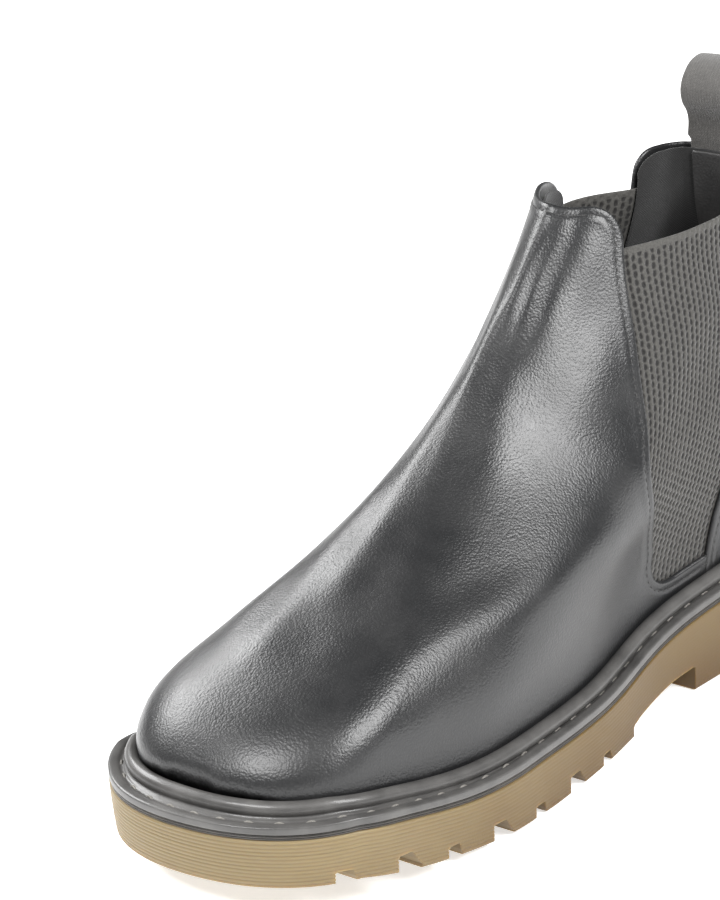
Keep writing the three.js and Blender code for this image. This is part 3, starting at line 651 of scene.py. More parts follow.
def leather_finish(name, dark, light, rough, grain_depth, pebble=1300.0):
    material, nodes, links, shader = tree_of(name)
    grain = place(nodes, links, GRAIN, Position=object_position(nodes), Pebble_Scale=pebble)
    clouding = ranged(nodes, links, grain.outputs["Clouding"], 0.3, 0.7, 0, 1)
    colour = blend_colours(nodes, links, clouding, dark, light)
    pores = math_node(nodes, links, "MULTIPLY", grain.outputs["Pores"], 0.5)
    colour = blend_colours(nodes, links, pores, colour, tuple(c * 0.45 for c in dark))
    links.new(colour, shader.inputs["Base Color"])
    links.new(
        ranged(nodes, links, grain.outputs["Clouding"], 0.3, 0.7, rough - 0.05, rough + 0.06),
        shader.inputs["Roughness"],
    )
    shader.inputs["Specular IOR Level"].default_value = 0.55
    shader.inputs["Coat Weight"].default_value = 0.12
    shader.inputs["Coat Roughness"].default_value = 0.3
    bump(nodes, links, shader, grain.outputs["Height"], grain_depth)
    return material


def elastic_finish():
    material, nodes, links, shader = tree_of("gore_elastic")
    split = nodes.new("ShaderNodeSeparateXYZ")
    uv = nodes.new("ShaderNodeUVMap")
    uv.uv_map = "UVMap"
    links.new(uv.outputs["UV"], split.inputs[0])
    sway = noise(nodes, links, object_position(nodes), 420.0, 1.0)
    pushed = math_node(nodes, links, "MULTIPLY_ADD", sway.outputs["Fac"], 0.0011, split.outputs["X"])
    ovals = place(nodes, links, OVALS, Across=pushed, Along=split.outputs["Y"])
    fuzz = noise(nodes, links, object_position(nodes), 1500.0)
    yarn = blend_colours(nodes, links, fuzz.outputs["Fac"], (0.032, 0.031, 0.028), (0.092, 0.088, 0.081))
    colour = blend_colours(nodes, links, ovals.outputs["Opening"], yarn, (0.011, 0.01, 0.0095))
    links.new(colour, shader.inputs["Base Color"])
    shader.inputs["Roughness"].default_value = 0.82
    shader.inputs["Sheen Weight"].default_value = 0.25
    shader.inputs["Sheen Roughness"].default_value = 0.4
    height = math_node(nodes, links, "MULTIPLY_ADD", fuzz.outputs["Fac"], 0.5, ovals.outputs["Height"])
    bump(nodes, links, shader, height, 0.00025)
    return material


def cloth_finish(name, dark, light, pitch, across="Y", along="Z", use_uv=False):
    """Plain woven cloth, on the boot's own axes or on the piece's UV map."""
    material, nodes, links, shader = tree_of(name)
    split = nodes.new("ShaderNodeSeparateXYZ")
    if use_uv:
        uv = nodes.new("ShaderNodeUVMap")
        uv.uv_map = "UVMap"
        links.new(uv.outputs["UV"], split.inputs[0])
        across, along = "X", "Y"
    else:
        links.new(object_position(nodes), split.inputs[0])
    weave = place(nodes, links, WEAVE, Across=split.outputs[across], Along=split.outputs[along], Pitch=pitch)
    fuzz = noise(nodes, links, object_position(nodes), 700.0, 4.0)
    colour = blend_colours(nodes, links, fuzz.outputs["Fac"], dark, light)
    shade = math_node(nodes, links, "MULTIPLY", weave.outputs["Gap"], 0.6)
    colour = blend_colours(nodes, links, shade, colour, tuple(c * 0.35 for c in dark))
    links.new(colour, shader.inputs["Base Color"])
    shader.inputs["Roughness"].default_value = 0.9
    shader.inputs["Sheen Weight"].default_value = 0.3
    shader.inputs["Sheen Roughness"].default_value = 0.5
    height = math_node(nodes, links, "MULTIPLY_ADD", fuzz.outputs["Fac"], 0.6, weave.outputs["Height"])
    bump(nodes, links, shader, height, pitch * 0.09)
    return material


def rubber_finish(name, dark, light, rough, coat=0.0):
    material, nodes, links, shader = tree_of(name)
    cloud = noise(nodes, links, object_position(nodes), 90.0, 5.0)
    speck = noise(nodes, links, object_position(nodes), 1800.0)
    clouding = ranged(nodes, links, cloud.outputs["Fac"], 0.35, 0.65, 0, 1)
    links.new(blend_colours(nodes, links, clouding, dark, light), shader.inputs["Base Color"])
    links.new(
        ranged(nodes, links, cloud.outputs["Fac"], 0.3, 0.7, rough - 0.04, rough + 0.06),
        shader.inputs["Roughness"],
    )
    shader.inputs["Coat Weight"].default_value = coat
    bump(nodes, links, shader, speck.outputs["Fac"], 0.00006)
    return material


def amber_finish():
    material, nodes, links, shader = tree_of("outsole_amber")
    split = nodes.new("ShaderNodeSeparateXYZ")
    links.new(object_position(nodes), split.inputs[0])
    cloud = noise(nodes, links, object_position(nodes), 28.0, 3.0)
    height = ranged(nodes, links, split.outputs["Z"], 0.0, 0.026, 0.0, 1.0)
    toe = ranged(nodes, links, split.outputs["Y"], -0.02, -0.14, 0.0, 0.75)
    height = math_node(nodes, links, "MULTIPLY_ADD", height, 0.35, toe)
    height = math_node(nodes, links, "MULTIPLY_ADD", cloud.outputs["Fac"], 0.5, height)
    deep, pale = (0.088, 0.047, 0.009), (0.225, 0.172, 0.092)
    colour = blend_colours(nodes, links, ranged(nodes, links, height, 0.2, 1.2, 0, 1), deep, pale)
    # Painted shade: the rib attribute darkens the colour towards this dark amber in the grooves between the side
    # ribs, standing in for the shade that falls there.
    rib = nodes.new("ShaderNodeAttribute")
    rib.attribute_name = "rib"
    colour = blend_colours(nodes, links, rib.outputs["Fac"], colour, (0.085, 0.05, 0.018))
    links.new(colour, shader.inputs["Base Color"])
    gloss = ranged(nodes, links, cloud.outputs["Fac"], 0.3, 0.7, 0.38, 0.5)
    links.new(gloss, shader.inputs["Roughness"])
    shader.inputs["Specular IOR Level"].default_value = 0.3
    shader.inputs["Subsurface Weight"].default_value = 0.35
    shader.inputs["Subsurface Radius"].default_value = (1.0, 0.6, 0.25)
    shader.inputs["Subsurface Scale"].default_value = 0.006
    speck = noise(nodes, links, object_position(nodes), 1400.0)
    bump(nodes, links, shader, speck.outputs["Fac"], 0.00005)
    return material


def fibre_finish(name, dark, light, scale, metal=0.0, rough=0.85):
    material, nodes, links, shader = tree_of(name)
    fibre = nodes.new("ShaderNodeTexVoronoi")
    fibre.inputs["Scale"].default_value = scale
    links.new(object_position(nodes), fibre.inputs["Vector"])
    cloud = noise(nodes, links, object_position(nodes), scale * 0.4, 6.0)
    links.new(blend_colours(nodes, links, cloud.outputs["Fac"], dark, light), shader.inputs["Base Color"])
    links.new(
        ranged(nodes, links, cloud.outputs["Fac"], 0.3, 0.7, rough - 0.08, rough + 0.08),
        shader.inputs["Roughness"],
    )
    shader.inputs["Metallic"].default_value = metal
    bump(nodes, links, shader, fibre.outputs["Distance"], 0.0001)
    return material


UPPER_LEATHER = leather_finish(
    "smooth_black_leather", (0.014, 0.0145, 0.0155), (0.026, 0.026, 0.0265), 0.36, 0.00009
)
STRIP_LEATHER = leather_finish("lining_leather", (0.035, 0.034, 0.034), (0.05, 0.048, 0.047), 0.6, 0.0001)
GORE_ELASTIC = elastic_finish()
LINING_CLOTH = cloth_finish("lining_cloth", (0.009, 0.009, 0.0093), (0.019, 0.0185, 0.018), 0.0009)
LOOP_WEBBING = cloth_finish("loop_webbing", (0.06, 0.057, 0.054), (0.13, 0.124, 0.116), 0.0009, use_uv=True)
FOOTBED_CLOTH = cloth_finish("footbed_cloth", (0.03, 0.03, 0.031), (0.06, 0.06, 0.06), 0.0013, along="X")
WELT_RUBBER = rubber_finish("welt_black", (0.058, 0.056, 0.054), (0.095, 0.092, 0.088), 0.4, coat=0.2)
EDGE_RUBBER = rubber_finish("midsole_black", (0.04, 0.037, 0.034), (0.07, 0.064, 0.057), 0.36)
AMBER_RUBBER = amber_finish()
BLACK_THREAD = fibre_finish("black_thread", (0.018, 0.018, 0.018), (0.05, 0.049, 0.048), 2500.0, rough=0.6)
GREY_THREAD = fibre_finish("grey_thread", (0.1, 0.095, 0.085), (0.3, 0.285, 0.26), 2500.0, rough=0.55)
FIBRE_BOARD = fibre_finish("fibre_board", (0.3, 0.21, 0.13), (0.42, 0.31, 0.2), 500.0)
CORK = fibre_finish("ground_cork", (0.2, 0.115, 0.06), (0.42, 0.28, 0.16), 350.0)
CANVAS = fibre_finish("rib_canvas", (0.45, 0.41, 0.34), (0.6, 0.56, 0.48), 900.0)
SHANK_STEEL = fibre_finish("shank_steel", (0.42, 0.42, 0.44), (0.58, 0.58, 0.6), 220.0, metal=1.0, rough=0.32)

for node, material in (
    ("heel_counter", FIBRE_BOARD),
    ("insole_board", FIBRE_BOARD),
    ("insole_rib", CANVAS),
    ("bottom_filler", CORK),
    ("shank", SHANK_STEEL),
):
    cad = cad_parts[node]
    cad.data.materials.clear()
    cad.data.materials.append(material)


# ---------------------------------------------------------------- outlines on the last
def flip(run):
    """The same run on the other side of the boot."""
    return [(-a, v) for a, v in run]


def mirrored(loop):
    """The same outline on the other side of the boot, still wound the same way."""
    return flip(reversed(loop))


def gore_edge(low, high):
    return [(float(gore_front_angle(v)), float(v)) for v in np.linspace(low, high, 24)]


TONGUE_SIDE = bend((31, 0.998), (51.5, 0.99), (56.2, 0.905), 10)
side_edge = (
    [(GORE_REAR, 0.0), (GORE_REAR, GORE_BOTTOM)]
    + [tuple(p) for p in bend((110.5, GORE_BOTTOM), (105.2, GORE_BOTTOM), (103.4, 0.135), 8)]
    + gore_edge(0.16, 0.89)
    + [tuple(p) for p in TONGUE_SIDE[::-1]]
)
VAMP_LATERAL = [(0.0, 0.0)] + [(a, 0.0) for a in np.arange(6, 118, 6.0)] + side_edge


def inner_edge_angle(v):
    """The gore's front edge on the inner side leans back more near the top."""
    return -(gore_front_angle(v) + 30.0 * fade(0.35, 0.92, v))


INNER_TONGUE = bend((-46, 0.998), (-88, 0.998), (float(inner_edge_angle(0.905)), 0.905), 10)
inner_side_edge = (
    [tuple(p) for p in INNER_TONGUE]
    + [(float(inner_edge_angle(v)), float(v)) for v in np.linspace(0.89, 0.16, 24)]
    + mirrored(side_edge[1:11])
    + [(-GORE_REAR, 0.0)]
)
VAMP_LOOP = VAMP_LATERAL[1:] + [(0.0, 1.0)] + inner_side_edge + mirrored(VAMP_LATERAL[:20])
vamp_folded = side_edge[1:] + [(0.0, 1.0)] + inner_side_edge[:-1]

quarter_top = [tuple(p) for p in bend((132, QUARTER_TOP), (118.5, QUARTER_TOP + 0.004), (118.5, 0.955), 8)]
QUARTER_LOOP = (
    [(GORE_REAR, 0.0)]
    + [(a, 0.0) for a in np.arange(124, 180, 6.0)]
    + [(180.0, 0.0), (180.0, 0.35), (180.0, 0.7), (180.0, QUARTER_TOP), (156.0, QUARTER_TOP)]
    + quarter_top
    + [(GORE_REAR, v) for v in (0.8, 0.6, 0.4, 0.2, GORE_BOTTOM)]
)
quarter_folded = [(180.0, QUARTER_TOP), (156.0, QUARTER_TOP)] + quarter_top + [
    (GORE_REAR, v) for v in (0.8, 0.6, 0.4, 0.2, 0.0)
]

STITCH_ROW = 3.1


def folded_relief(flat, point, from_edge):
    """Turned-over edge: a slightly raised band with a stitch channel sunk in it."""
    band = 0.3 * (1 - fade(4.4, 6.2, from_edge))
    channel = -0.24 * np.exp(-(((from_edge - STITCH_ROW) / 0.75) ** 2))
    return band + channel


def elastic_uv(flat, point):
    """Millimetres across from the side seam, and down from the top edge of the elastic."""
    side = 1.0 if flat[:, 0].mean() > 0 else -1.0
    pitch = 0.5
    angles = np.arange(40.0, 130.0, pitch)
    levels = np.linspace(0, 1, 41)
    run = run_table(side * angles, levels)
    column = np.clip((np.abs(flat[:, 0]) - angles[0]) / pitch, 0, len(angles) - 1.001)
    level = np.clip(flat[:, 1] * 40, 0, 39.999)
    seam = np.full(len(flat), (GORE_REAR - angles[0]) / pitch)
    across = between_entries(run, seam, level) - between_entries(run, column, level)
    top = last_point(flat[:, 0], np.full(len(flat), GORE_TOP))[:, 2]
    return np.stack([across, top - point[:, 2]], -1)


ELASTIC_COLUMN = 2.5
ELASTIC_ROW = 2.4
SELVAGE = 2.0


def elastic_relief(flat, point, from_edge):
    """The knit's staggered openings, pressed into the sheet, below a plain selvage."""
    uv = elastic_uv(flat, point)
    column = (uv[:, 0] + 0.55) / ELASTIC_COLUMN
    odd = np.abs(np.floor(column)) % 2
    row = uv[:, 1] / ELASTIC_ROW + 0.5 * odd
    ex = (column - np.floor(column) - 0.5) / 0.33
    ey = (row - np.floor(row) - 0.5) / 0.45
    ring = np.sqrt(ex**2 + ey**2)
    return -0.4 * (1 - fade(0.5, 1.25, ring)) * fade(SELVAGE, SELVAGE + 0.6, uv[:, 1])


shell("vamp_leather", VAMP_LOOP, 0, LEATHER, "leather", UPPER_LEATHER, ("vamp",), folded_relief, vamp_folded)
shell(
    "quarter_leather_lateral", QUARTER_LOOP, 0, LEATHER, "leather", UPPER_LEATHER,
    ("quarter_lateral",), folded_relief, quarter_folded,
)
shell(
    "quarter_leather_medial", mirrored(QUARTER_LOOP), 0, LEATHER, "leather", UPPER_LEATHER,
    ("quarter_medial",), folded_relief, flip(quarter_folded),
)

GORE_LOOP = (
    [(a, GORE_BOTTOM - 0.022) for a in (105.0, 110.0, 115.0, 120.5)]
    + [(121.0, v) for v in (0.2, 0.4, 0.6, 0.8, GORE_TOP)]
    + [(a, GORE_TOP) for a in (110.0, 98.0, 86.0, 74.0, 62.0)]
    + [(52.0, GORE_TOP)]
    + [(float(gore_front_angle(v)) - 3.5, v) for v in (0.85, 0.75, 0.65, 0.55, 0.45, 0.35, 0.25, 0.15)]
)
elastic_grid = dict(spacing=1.0, grid=(0.36, 0.0042), bands=(0.06, 0.2, 0.42, 0.75))
for side, sign in (("lateral", 1), ("medial", -1)):
    loop = GORE_LOOP if sign > 0 else mirrored(GORE_LOOP)
    gore = shell(
        "gore_elastic_" + side, loop, LEATHER + 0.08, ELASTIC, "elastic", GORE_ELASTIC,
        ("gore_" + side,), elastic_relief, None, elastic_uv, **elastic_grid,
    )
    across, tall = 0.082, 0.122

coarse = dict(spacing=2.2, grid=(2.4, 0.026), bands=(0.1, 0.3, 0.8, 2.0))


def pulled_in(loop, top_drop, side_shrink):
    """The same outline with its top lowered and its gore edges drawn back."""
    out = []
    for a, v in loop:
        v2 = v - top_drop * fade(0.5, 0.85, v)
        a2 = a - math.copysign(side_shrink, a) if abs(a) < GORE_REAR - 1 and v > 0.03 else a
        out.append((a2, float(v2)))
    return out


PUFF_LOOP = (
    [(float(a), 0.012) for a in range(-56, 57, 8)]
    + [(57.0, 0.1), (54.0, 0.2), (44.0, 0.262), (20.0, 0.27), (0.0, 0.27)]
    + [(-20.0, 0.27), (-44.0, 0.262), (-54.0, 0.2), (-57.0, 0.1)]
)
shell("toe_puff_board", PUFF_LOOP, LEATHER + 0.1, 1.0, "board", FIBRE_BOARD, ("toe_puff",), **coarse)

lining_depth = LEATHER + ELASTIC + 0.75
vamp_lining = shell(
    "vamp_lining_cloth", pulled_in(VAMP_LOOP, 0.009, 0.6), lining_depth, LINING, "textile", LINING_CLOTH,
    ("vamp_lining",), **coarse,
)

wrap_end = GORE_REAR + 0.8
QUARTER_LINING = (
    [(wrap_end, 0.0)]
    + [(a, 0.0) for a in np.arange(126, 238, 6.0)]
    + [(360 - wrap_end, v) for v in (0.0, GORE_BOTTOM, 0.2, 0.4, 0.6, 0.8, 0.94)]
    + [(360 - a, v - 0.009) for a, v in reversed(quarter_top)]
    + [(a, QUARTER_TOP - 0.009) for a in (220.0, 200.0, 180.0, 160.0, 140.0)]
    + [(a, v - 0.009) for a, v in quarter_top]
    + [(wrap_end, v) for v in (0.94, 0.8, 0.6, 0.4, 0.2, GORE_BOTTOM)]
)
quarter_lining = shell(
    "quarter_lining_cloth", QUARTER_LINING, lining_depth, LINING, "textile", LINING_CLOTH,
    ("quarter_lining",), **coarse,
)
BACK_STRIP = [(a, 0.5) for a in (168.0, 174.0, 180.0, 186.0, 192.0)] + [(193.5, 0.75), (194.5, QUARTER_TOP - 0.014)]
BACK_STRIP += [(180.0, QUARTER_TOP - 0.014), (165.5, QUARTER_TOP - 0.014), (166.5, 0.75)]
shell(
    "back_lining_leather", BACK_STRIP, lining_depth + LINING + 0.15, 1.0, "lining_leather", STRIP_LEATHER,
    ("back_lining_strip",), **coarse,
)


# ---------------------------------------------------------------- stitches
def stitch_group():
    """Short thread arches set along a run of points that carry their outward direction."""
    group = bpy.data.node_groups.new("stitch_row", "GeometryNodeTree")
    face = group.interface
    face.new_socket("Geometry", in_out="INPUT", socket_type="NodeSocketGeometry")
    for label, default in (("Pitch", 0.0026), ("Length", 0.002), ("Radius", 0.0003), ("Rise", 0.00035)):
        face.new_socket(label, in_out="INPUT", socket_type=FLOAT).default_value = default
    face.new_socket("Finish", in_out="INPUT", socket_type="NodeSocketMaterial")
    face.new_socket("Geometry", in_out="OUTPUT", socket_type="NodeSocketGeometry")
    n, l = group.nodes, group.links
    gin, gout = n.new("NodeGroupInput"), n.new("NodeGroupOutput")
    path = n.new("GeometryNodeMeshToCurve")
    l.new(gin.outputs["Geometry"], path.inputs["Mesh"])
    spaced = n.new("GeometryNodeResampleCurve")
    spaced.mode = "LENGTH"
    l.new(path.outputs["Curve"], spaced.inputs["Curve"])
    l.new(gin.outputs["Pitch"], spaced.inputs["Length"])
    arch = n.new("GeometryNodeCurveQuadraticBezier")
    arch.inputs["Resolution"].default_value = 7
    half = math_node(n, l, "MULTIPLY", gin.outputs["Length"], 0.5)
    back = math_node(n, l, "MULTIPLY", gin.outputs["Length"], -0.5)
    sunk = math_node(n, l, "MULTIPLY", gin.outputs["Radius"], -1.4)
    for label, x, z in (("Start", back, sunk), ("Middle", None, gin.outputs["Rise"]), ("End", half, sunk)):
        spot = n.new("ShaderNodeCombineXYZ")
        if x is not None:
            l.new(x, spot.inputs["X"])
        l.new(z, spot.inputs["Z"])
        l.new(spot.outputs[0], arch.inputs[label])
    ring = n.new("GeometryNodeCurvePrimitiveCircle")
    ring.inputs["Resolution"].default_value = 7
    l.new(gin.outputs["Radius"], ring.inputs["Radius"])
    thread = n.new("GeometryNodeCurveToMesh")
    thread.inputs["Fill Caps"].default_value = True
    l.new(arch.outputs["Curve"], thread.inputs["Curve"])
    l.new(ring.outputs["Curve"], thread.inputs["Profile Curve"])
    tangent = n.new("GeometryNodeInputTangent")
    outward = n.new("GeometryNodeInputNamedAttribute")
    outward.data_type = "FLOAT_VECTOR"
    outward.inputs["Name"].default_value = "outward"
    turn = n.new("FunctionNodeAlignRotationToVector")
    turn.axis = "X"
    l.new(tangent.outputs[0], turn.inputs["Vector"])
    roll = n.new("FunctionNodeAlignRotationToVector")
    roll.axis = "Z"
    roll.pivot_axis = "X"
    l.new(turn.outputs[0], roll.inputs["Rotation"])
    l.new(outward.outputs["Attribute"], roll.inputs["Vector"])
    copies = n.new("GeometryNodeInstanceOnPoints")
    l.new(spaced.outputs["Curve"], copies.inputs["Points"])
    l.new(thread.outputs["Mesh"], copies.inputs["Instance"])
    l.new(roll.outputs[0], copies.inputs["Rotation"])
    real = n.new("GeometryNodeRealizeInstances")
    l.new(copies.outputs["Instances"], real.inputs["Geometry"])
    soft = n.new("GeometryNodeSetShadeSmooth")
    l.new(real.outputs["Geometry"], soft.inputs["Geometry"])
    finish = n.new("GeometryNodeSetMaterial")
    l.new(soft.outputs["Geometry"], finish.inputs["Geometry"])
    l.new(gin.outputs["Finish"], finish.inputs["Material"])
    l.new(finish.outputs["Geometry"], gout.inputs["Geometry"])
    return group


STITCHES = stitch_group()


def baked(name, source, group, body, slot, replaced, **values):
    """The source's modifier result as a plain mesh piece."""
    modifier = source.modifiers.new("made", "NODES")
    modifier.node_group = group
    for item in group.interface.items_tree:
        key = item.name.lower()
        if item.item_type == "SOCKET" and item.in_out == "INPUT" and key in values:
            modifier[item.identifier] = values[key]
    bpy.context.view_layer.update()
    graph = bpy.context.evaluated_depsgraph_get()
    mesh = bpy.data.meshes.new_from_object(source.evaluated_get(graph), depsgraph=graph)
    bpy.data.objects.remove(source)
    mesh.name = name
    piece = bpy.data.objects.new(name, mesh)
    bpy.context.scene.collection.objects.link(piece)
    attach(piece, body)
    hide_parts(*replaced)
    return piece


def path_mesh(runs, closed=False):
    """An edge-only mesh of runs of (points in mm, outward directions)."""
    verts, outs, edges = [], [], []
    for points, outward in runs:
        start = len(verts)
        verts.extend((np.asarray(points) * MM).tolist())
        outs.extend(np.asarray(outward).tolist())
        edges.extend((k, k + 1) for k in range(start, len(verts) - 1))
        if closed:
            edges.append((len(verts) - 1, start))
    mesh = bpy.data.meshes.new("stitch_path")
    mesh.from_pydata(verts, edges, [])
    attribute = mesh.attributes.new("outward", "FLOAT_VECTOR", "POINT")
    attribute.data.foreach_set("vector", np.asarray(outs, float).ravel())
    source = bpy.data.objects.new("stitch_path", mesh)
    bpy.context.scene.collection.objects.link(source)
    return source


def beside_run(run, offset):
    """A run on the last moved to the left of its direction by offset mm, as points and outward directions."""
    run = np.asarray(run, float)
    dense = []
    for a, b in zip(run[:-1], run[1:]):
        gap = np.linalg.norm(last_point(*a) - last_point(*b))
        n = max(1, int(math.ceil(gap / 0.8)))
        dense.extend(a + (b - a) * k / n for k in range(n))
    dense = np.array(dense + [run[-1]])
    point, normal, along, up = last_frame(dense[:, 0], dense[:, 1])
    ahead = np.gradient(point, axis=0)
    left = np.cross(normal, ahead)
    left /= np.linalg.norm(left, axis=1, keepdims=True)
    moved = dense + offset * steps_for(left, along, up)
    tree = tree_over(point)
    spots, outward, _, _ = last_frame(moved[:, 0], moved[:, 1])
    keep = np.array([tree.find(p)[2] > abs(offset) * 0.94 for p in spots])
    spots = spots + outward * (hollow(moved[:, 0], moved[:, 1]) + 0.02)[:, None]
    return spots[keep], outward[keep]


gore_run = side_edge[1:-4]
quarter_run = [(GORE_REAR, v) for v in (0.93, 0.8, 0.6, 0.4, 0.2, 0.07)]
for side, sign in (("lateral", 1), ("medial", -1)):
    front = gore_run if sign > 0 else inner_side_edge[-2:3:-1]
    rear = quarter_run if sign > 0 else flip(quarter_run)
    baked(
        "gore_stitches_" + side,
        path_mesh([beside_run(front, STITCH_ROW * sign), beside_run(rear, STITCH_ROW * sign)]),
        STITCHES, "boot", "thread", ("gore_thread_" + side,),
        pitch=0.0027, length=0.0021, radius=0.0003, rise=0.0004, finish=BLACK_THREAD,
    )
front_run = [(40.0, 0.9972), (31.0, 0.998), (0.0, 1.0), (-31.0, 0.998), (-40.0, 0.9972)]
back_run = [(angle, QUARTER_TOP) for angle in (128.0, 156.0, 180.0, 204.0, 232.0)]
for name, run, sign, node in (
    ("topline_stitches_front", front_run, 1, "topline_thread_front"),
    ("topline_stitches_back", back_run, -1, "topline_thread_back"),
):
    baked(
        name, path_mesh([beside_run(run, STITCH_ROW * sign)]), STITCHES, "boot", "thread", (node,),
        pitch=0.0027, length=0.0021, radius=0.0003, rise=0.0004, finish=BLACK_THREAD,
    )

# ---------------------------------------------------------------- rings round the feather
RING_COLUMNS = 760


def feather_ring():
    """Evenly spaced feather points from the toe round the lateral side, with plan directions outward."""
    angles = np.linspace(0, 360, 7201)[:-1]
    dense = last_point(angles, 0.0)
    step = np.linalg.norm(np.diff(np.vstack([dense, dense[:1]]), axis=0), axis=1)
    run = np.concatenate([[0], np.cumsum(step)])
    half = run[3600]
    stops = np.concatenate([
        np.linspace(0, half, RING_COLUMNS // 2 + 1)[:-1],
        np.linspace(half, run[-1], RING_COLUMNS // 2 + 1)[:-1],
    ])
    at = np.interp(stops, run, np.linspace(0, 360, 7201))
    plan = last_point(at, 0.0)
    ahead = np.roll(plan, -2, 0) - np.roll(plan, 2, 0)
    out = np.stack([ahead[:, 1], -ahead[:, 0], np.zeros(len(plan))], -1)
    out /= np.linalg.norm(out, axis=1, keepdims=True)
    for _ in range(6):
        out = out + np.roll(out, 1, 0) + np.roll(out, -1, 0)
        out /= np.linalg.norm(out, axis=1, keepdims=True)
    return at, plan, out


RING_ANGLE, RING_POINT, RING_OUT = feather_ring()
toe_share = np.clip((-0.15 - (RING_POINT[:, 1] - CENTRE_Y) / SOLE_LENGTH) / 0.24, 0, 1)
SOLE_OUT = WELT_OUT + (TOE_WELT_OUT - WELT_OUT) * toe_share
SOLE_OUT = SOLE_OUT - 1.6 * toe_share * np.clip(np.sin(np.radians(RING_ANGLE - 180)) * 3, 0, 1)


def beside(out, rise):
    """Points at out mm beyond the feather and rise mm above its height there; both may vary round the ring."""
    point = RING_POINT + RING_OUT * np.broadcast_to(out, (RING_COLUMNS,))[:, None]
    point = point.copy()
    point[:, 2] = feather_height(point[:, 1] - CENTRE_Y) + rise
    return point


def ring_piece(name, rows, material, replaced):
    """A closed tube round the foot from rows of points."""
    verts = np.vstack(rows)
    n, m = RING_COLUMNS, len(rows)
    faces = []
    for j in range(m):
        j2 = (j + 1) % m
        for i in range(n):
            i2 = (i + 1) % n
            faces.append((j * n + i, j * n + i2, j2 * n + i2, j2 * n + i))
    return finish_object(name, verts, faces, "boot", material, replaced)


wall = last_point(RING_ANGLE, 0.022)
wall_out = np.clip(((wall - RING_POINT) * RING_OUT).sum(1), -1.8, 2.5)
for _ in range(12):
    wall_out = (wall_out + np.roll(wall_out, 1) + np.roll(wall_out, -1)) / 3


def bead_row(turn):
    """One line along the rounded bead that closes the upper to the welt."""
    centre_out = 1.95 + 0.9 * wall_out
    radius_out, radius_up = 2.5, 2.65
    out = centre_out + radius_out * math.cos(turn)
    return beside(out, 0.6 + radius_up * math.sin(turn))


groove_out = SOLE_OUT - 4.3
wave = 0.12 * np.sin(np.arange(RING_COLUMNS) * 2 * math.pi * 9 / RING_COLUMNS)
welt_rows = [beside(-8.0, -3.3), beside(SOLE_OUT - 1.5, -3.4)]
for out_in, rise in (
    (0.45, -3.35), (0.12, -3.2), (0.0, -2.95), (0.0, -2.4), (0.02, -1.7), (0.06, -1.2),
    (0.2, -0.9), (0.5, -0.74), (1.0, -0.66), (1.8, -0.62), (2.6, -0.66),
):
    welt_rows.append(beside(SOLE_OUT - out_in, rise + wave * 0.3))
for out_on, rise in ((1.1, -0.78), (0.75, -1.15), (0.3, -1.42), (-0.3, -1.42), (-0.75, -1.15), (-1.05, -0.8)):
    welt_rows.append(beside(groove_out + out_on, rise))
for turn in np.radians(np.arange(-38, 190, 14.0)):
    welt_rows.append(bead_row(float(turn)))
welt_rows += [beside(0.2, 0.2), beside(-8.0, -0.7)]
ring_piece("storm_welt", welt_rows, WELT_RUBBER, ("welt",))

welt_path = beside(groove_out, -1.2)
baked(
    "welt_stitches", path_mesh([(welt_path, np.tile([0, 0, 1.0], (RING_COLUMNS, 1)))], closed=True),
    STITCHES, "boot", "welt_thread", ("welt_thread",),
    pitch=0.0096, length=0.003, radius=0.00042, rise=0.0007, finish=GREY_THREAD,
)


def capped(rows_of_points):
    """Faces of a stack of ring rows, closed at both ends with rungs from side to side."""
    n, m = RING_COLUMNS, len(rows_of_points)
    faces = []
    for j in range(m - 1):
        for i in range(n):
            i2 = (i + 1) % n
            faces.append((j * n + i, j * n + i2, (j + 1) * n + i2, (j + 1) * n + i))
    for base, flip_it in ((0, True), ((m - 1) * n, False)):
        for i in range(n // 2):
            a, b = i, i + 1
            c, d = (n - i - 1) % n, (n - i) % n
            corners = [base + a, base + b, base + c, base + d]
            corners = list(dict.fromkeys(corners))
            if len(corners) > 2:
                faces.append(tuple(reversed(corners)) if flip_it else tuple(corners))
    return faces


midsole_rows = []
for out_in, rise in (
    (1.4, -5.1), (0.75, -5.06), (0.4, -4.95), (0.36, -4.72), (0.46, -4.6), (0.8, -4.55), (0.85, -4.48),
    (0.8, -4.41), (0.42, -4.36), (0.3, -4.2), (0.3, -4.02), (0.42, -3.9), (0.74, -3.86), (0.78, -3.8),
    (0.74, -3.74), (0.36, -3.7), (0.28, -3.6), (0.4, -3.5), (1.2, -3.46),
):
    midsole_rows.append(beside(SOLE_OUT - out_in, rise))
finish_object(
    "midsole_edge", np.vstack(midsole_rows), capped(midsole_rows), "boot", EDGE_RUBBER,
    ("midsole",),
)

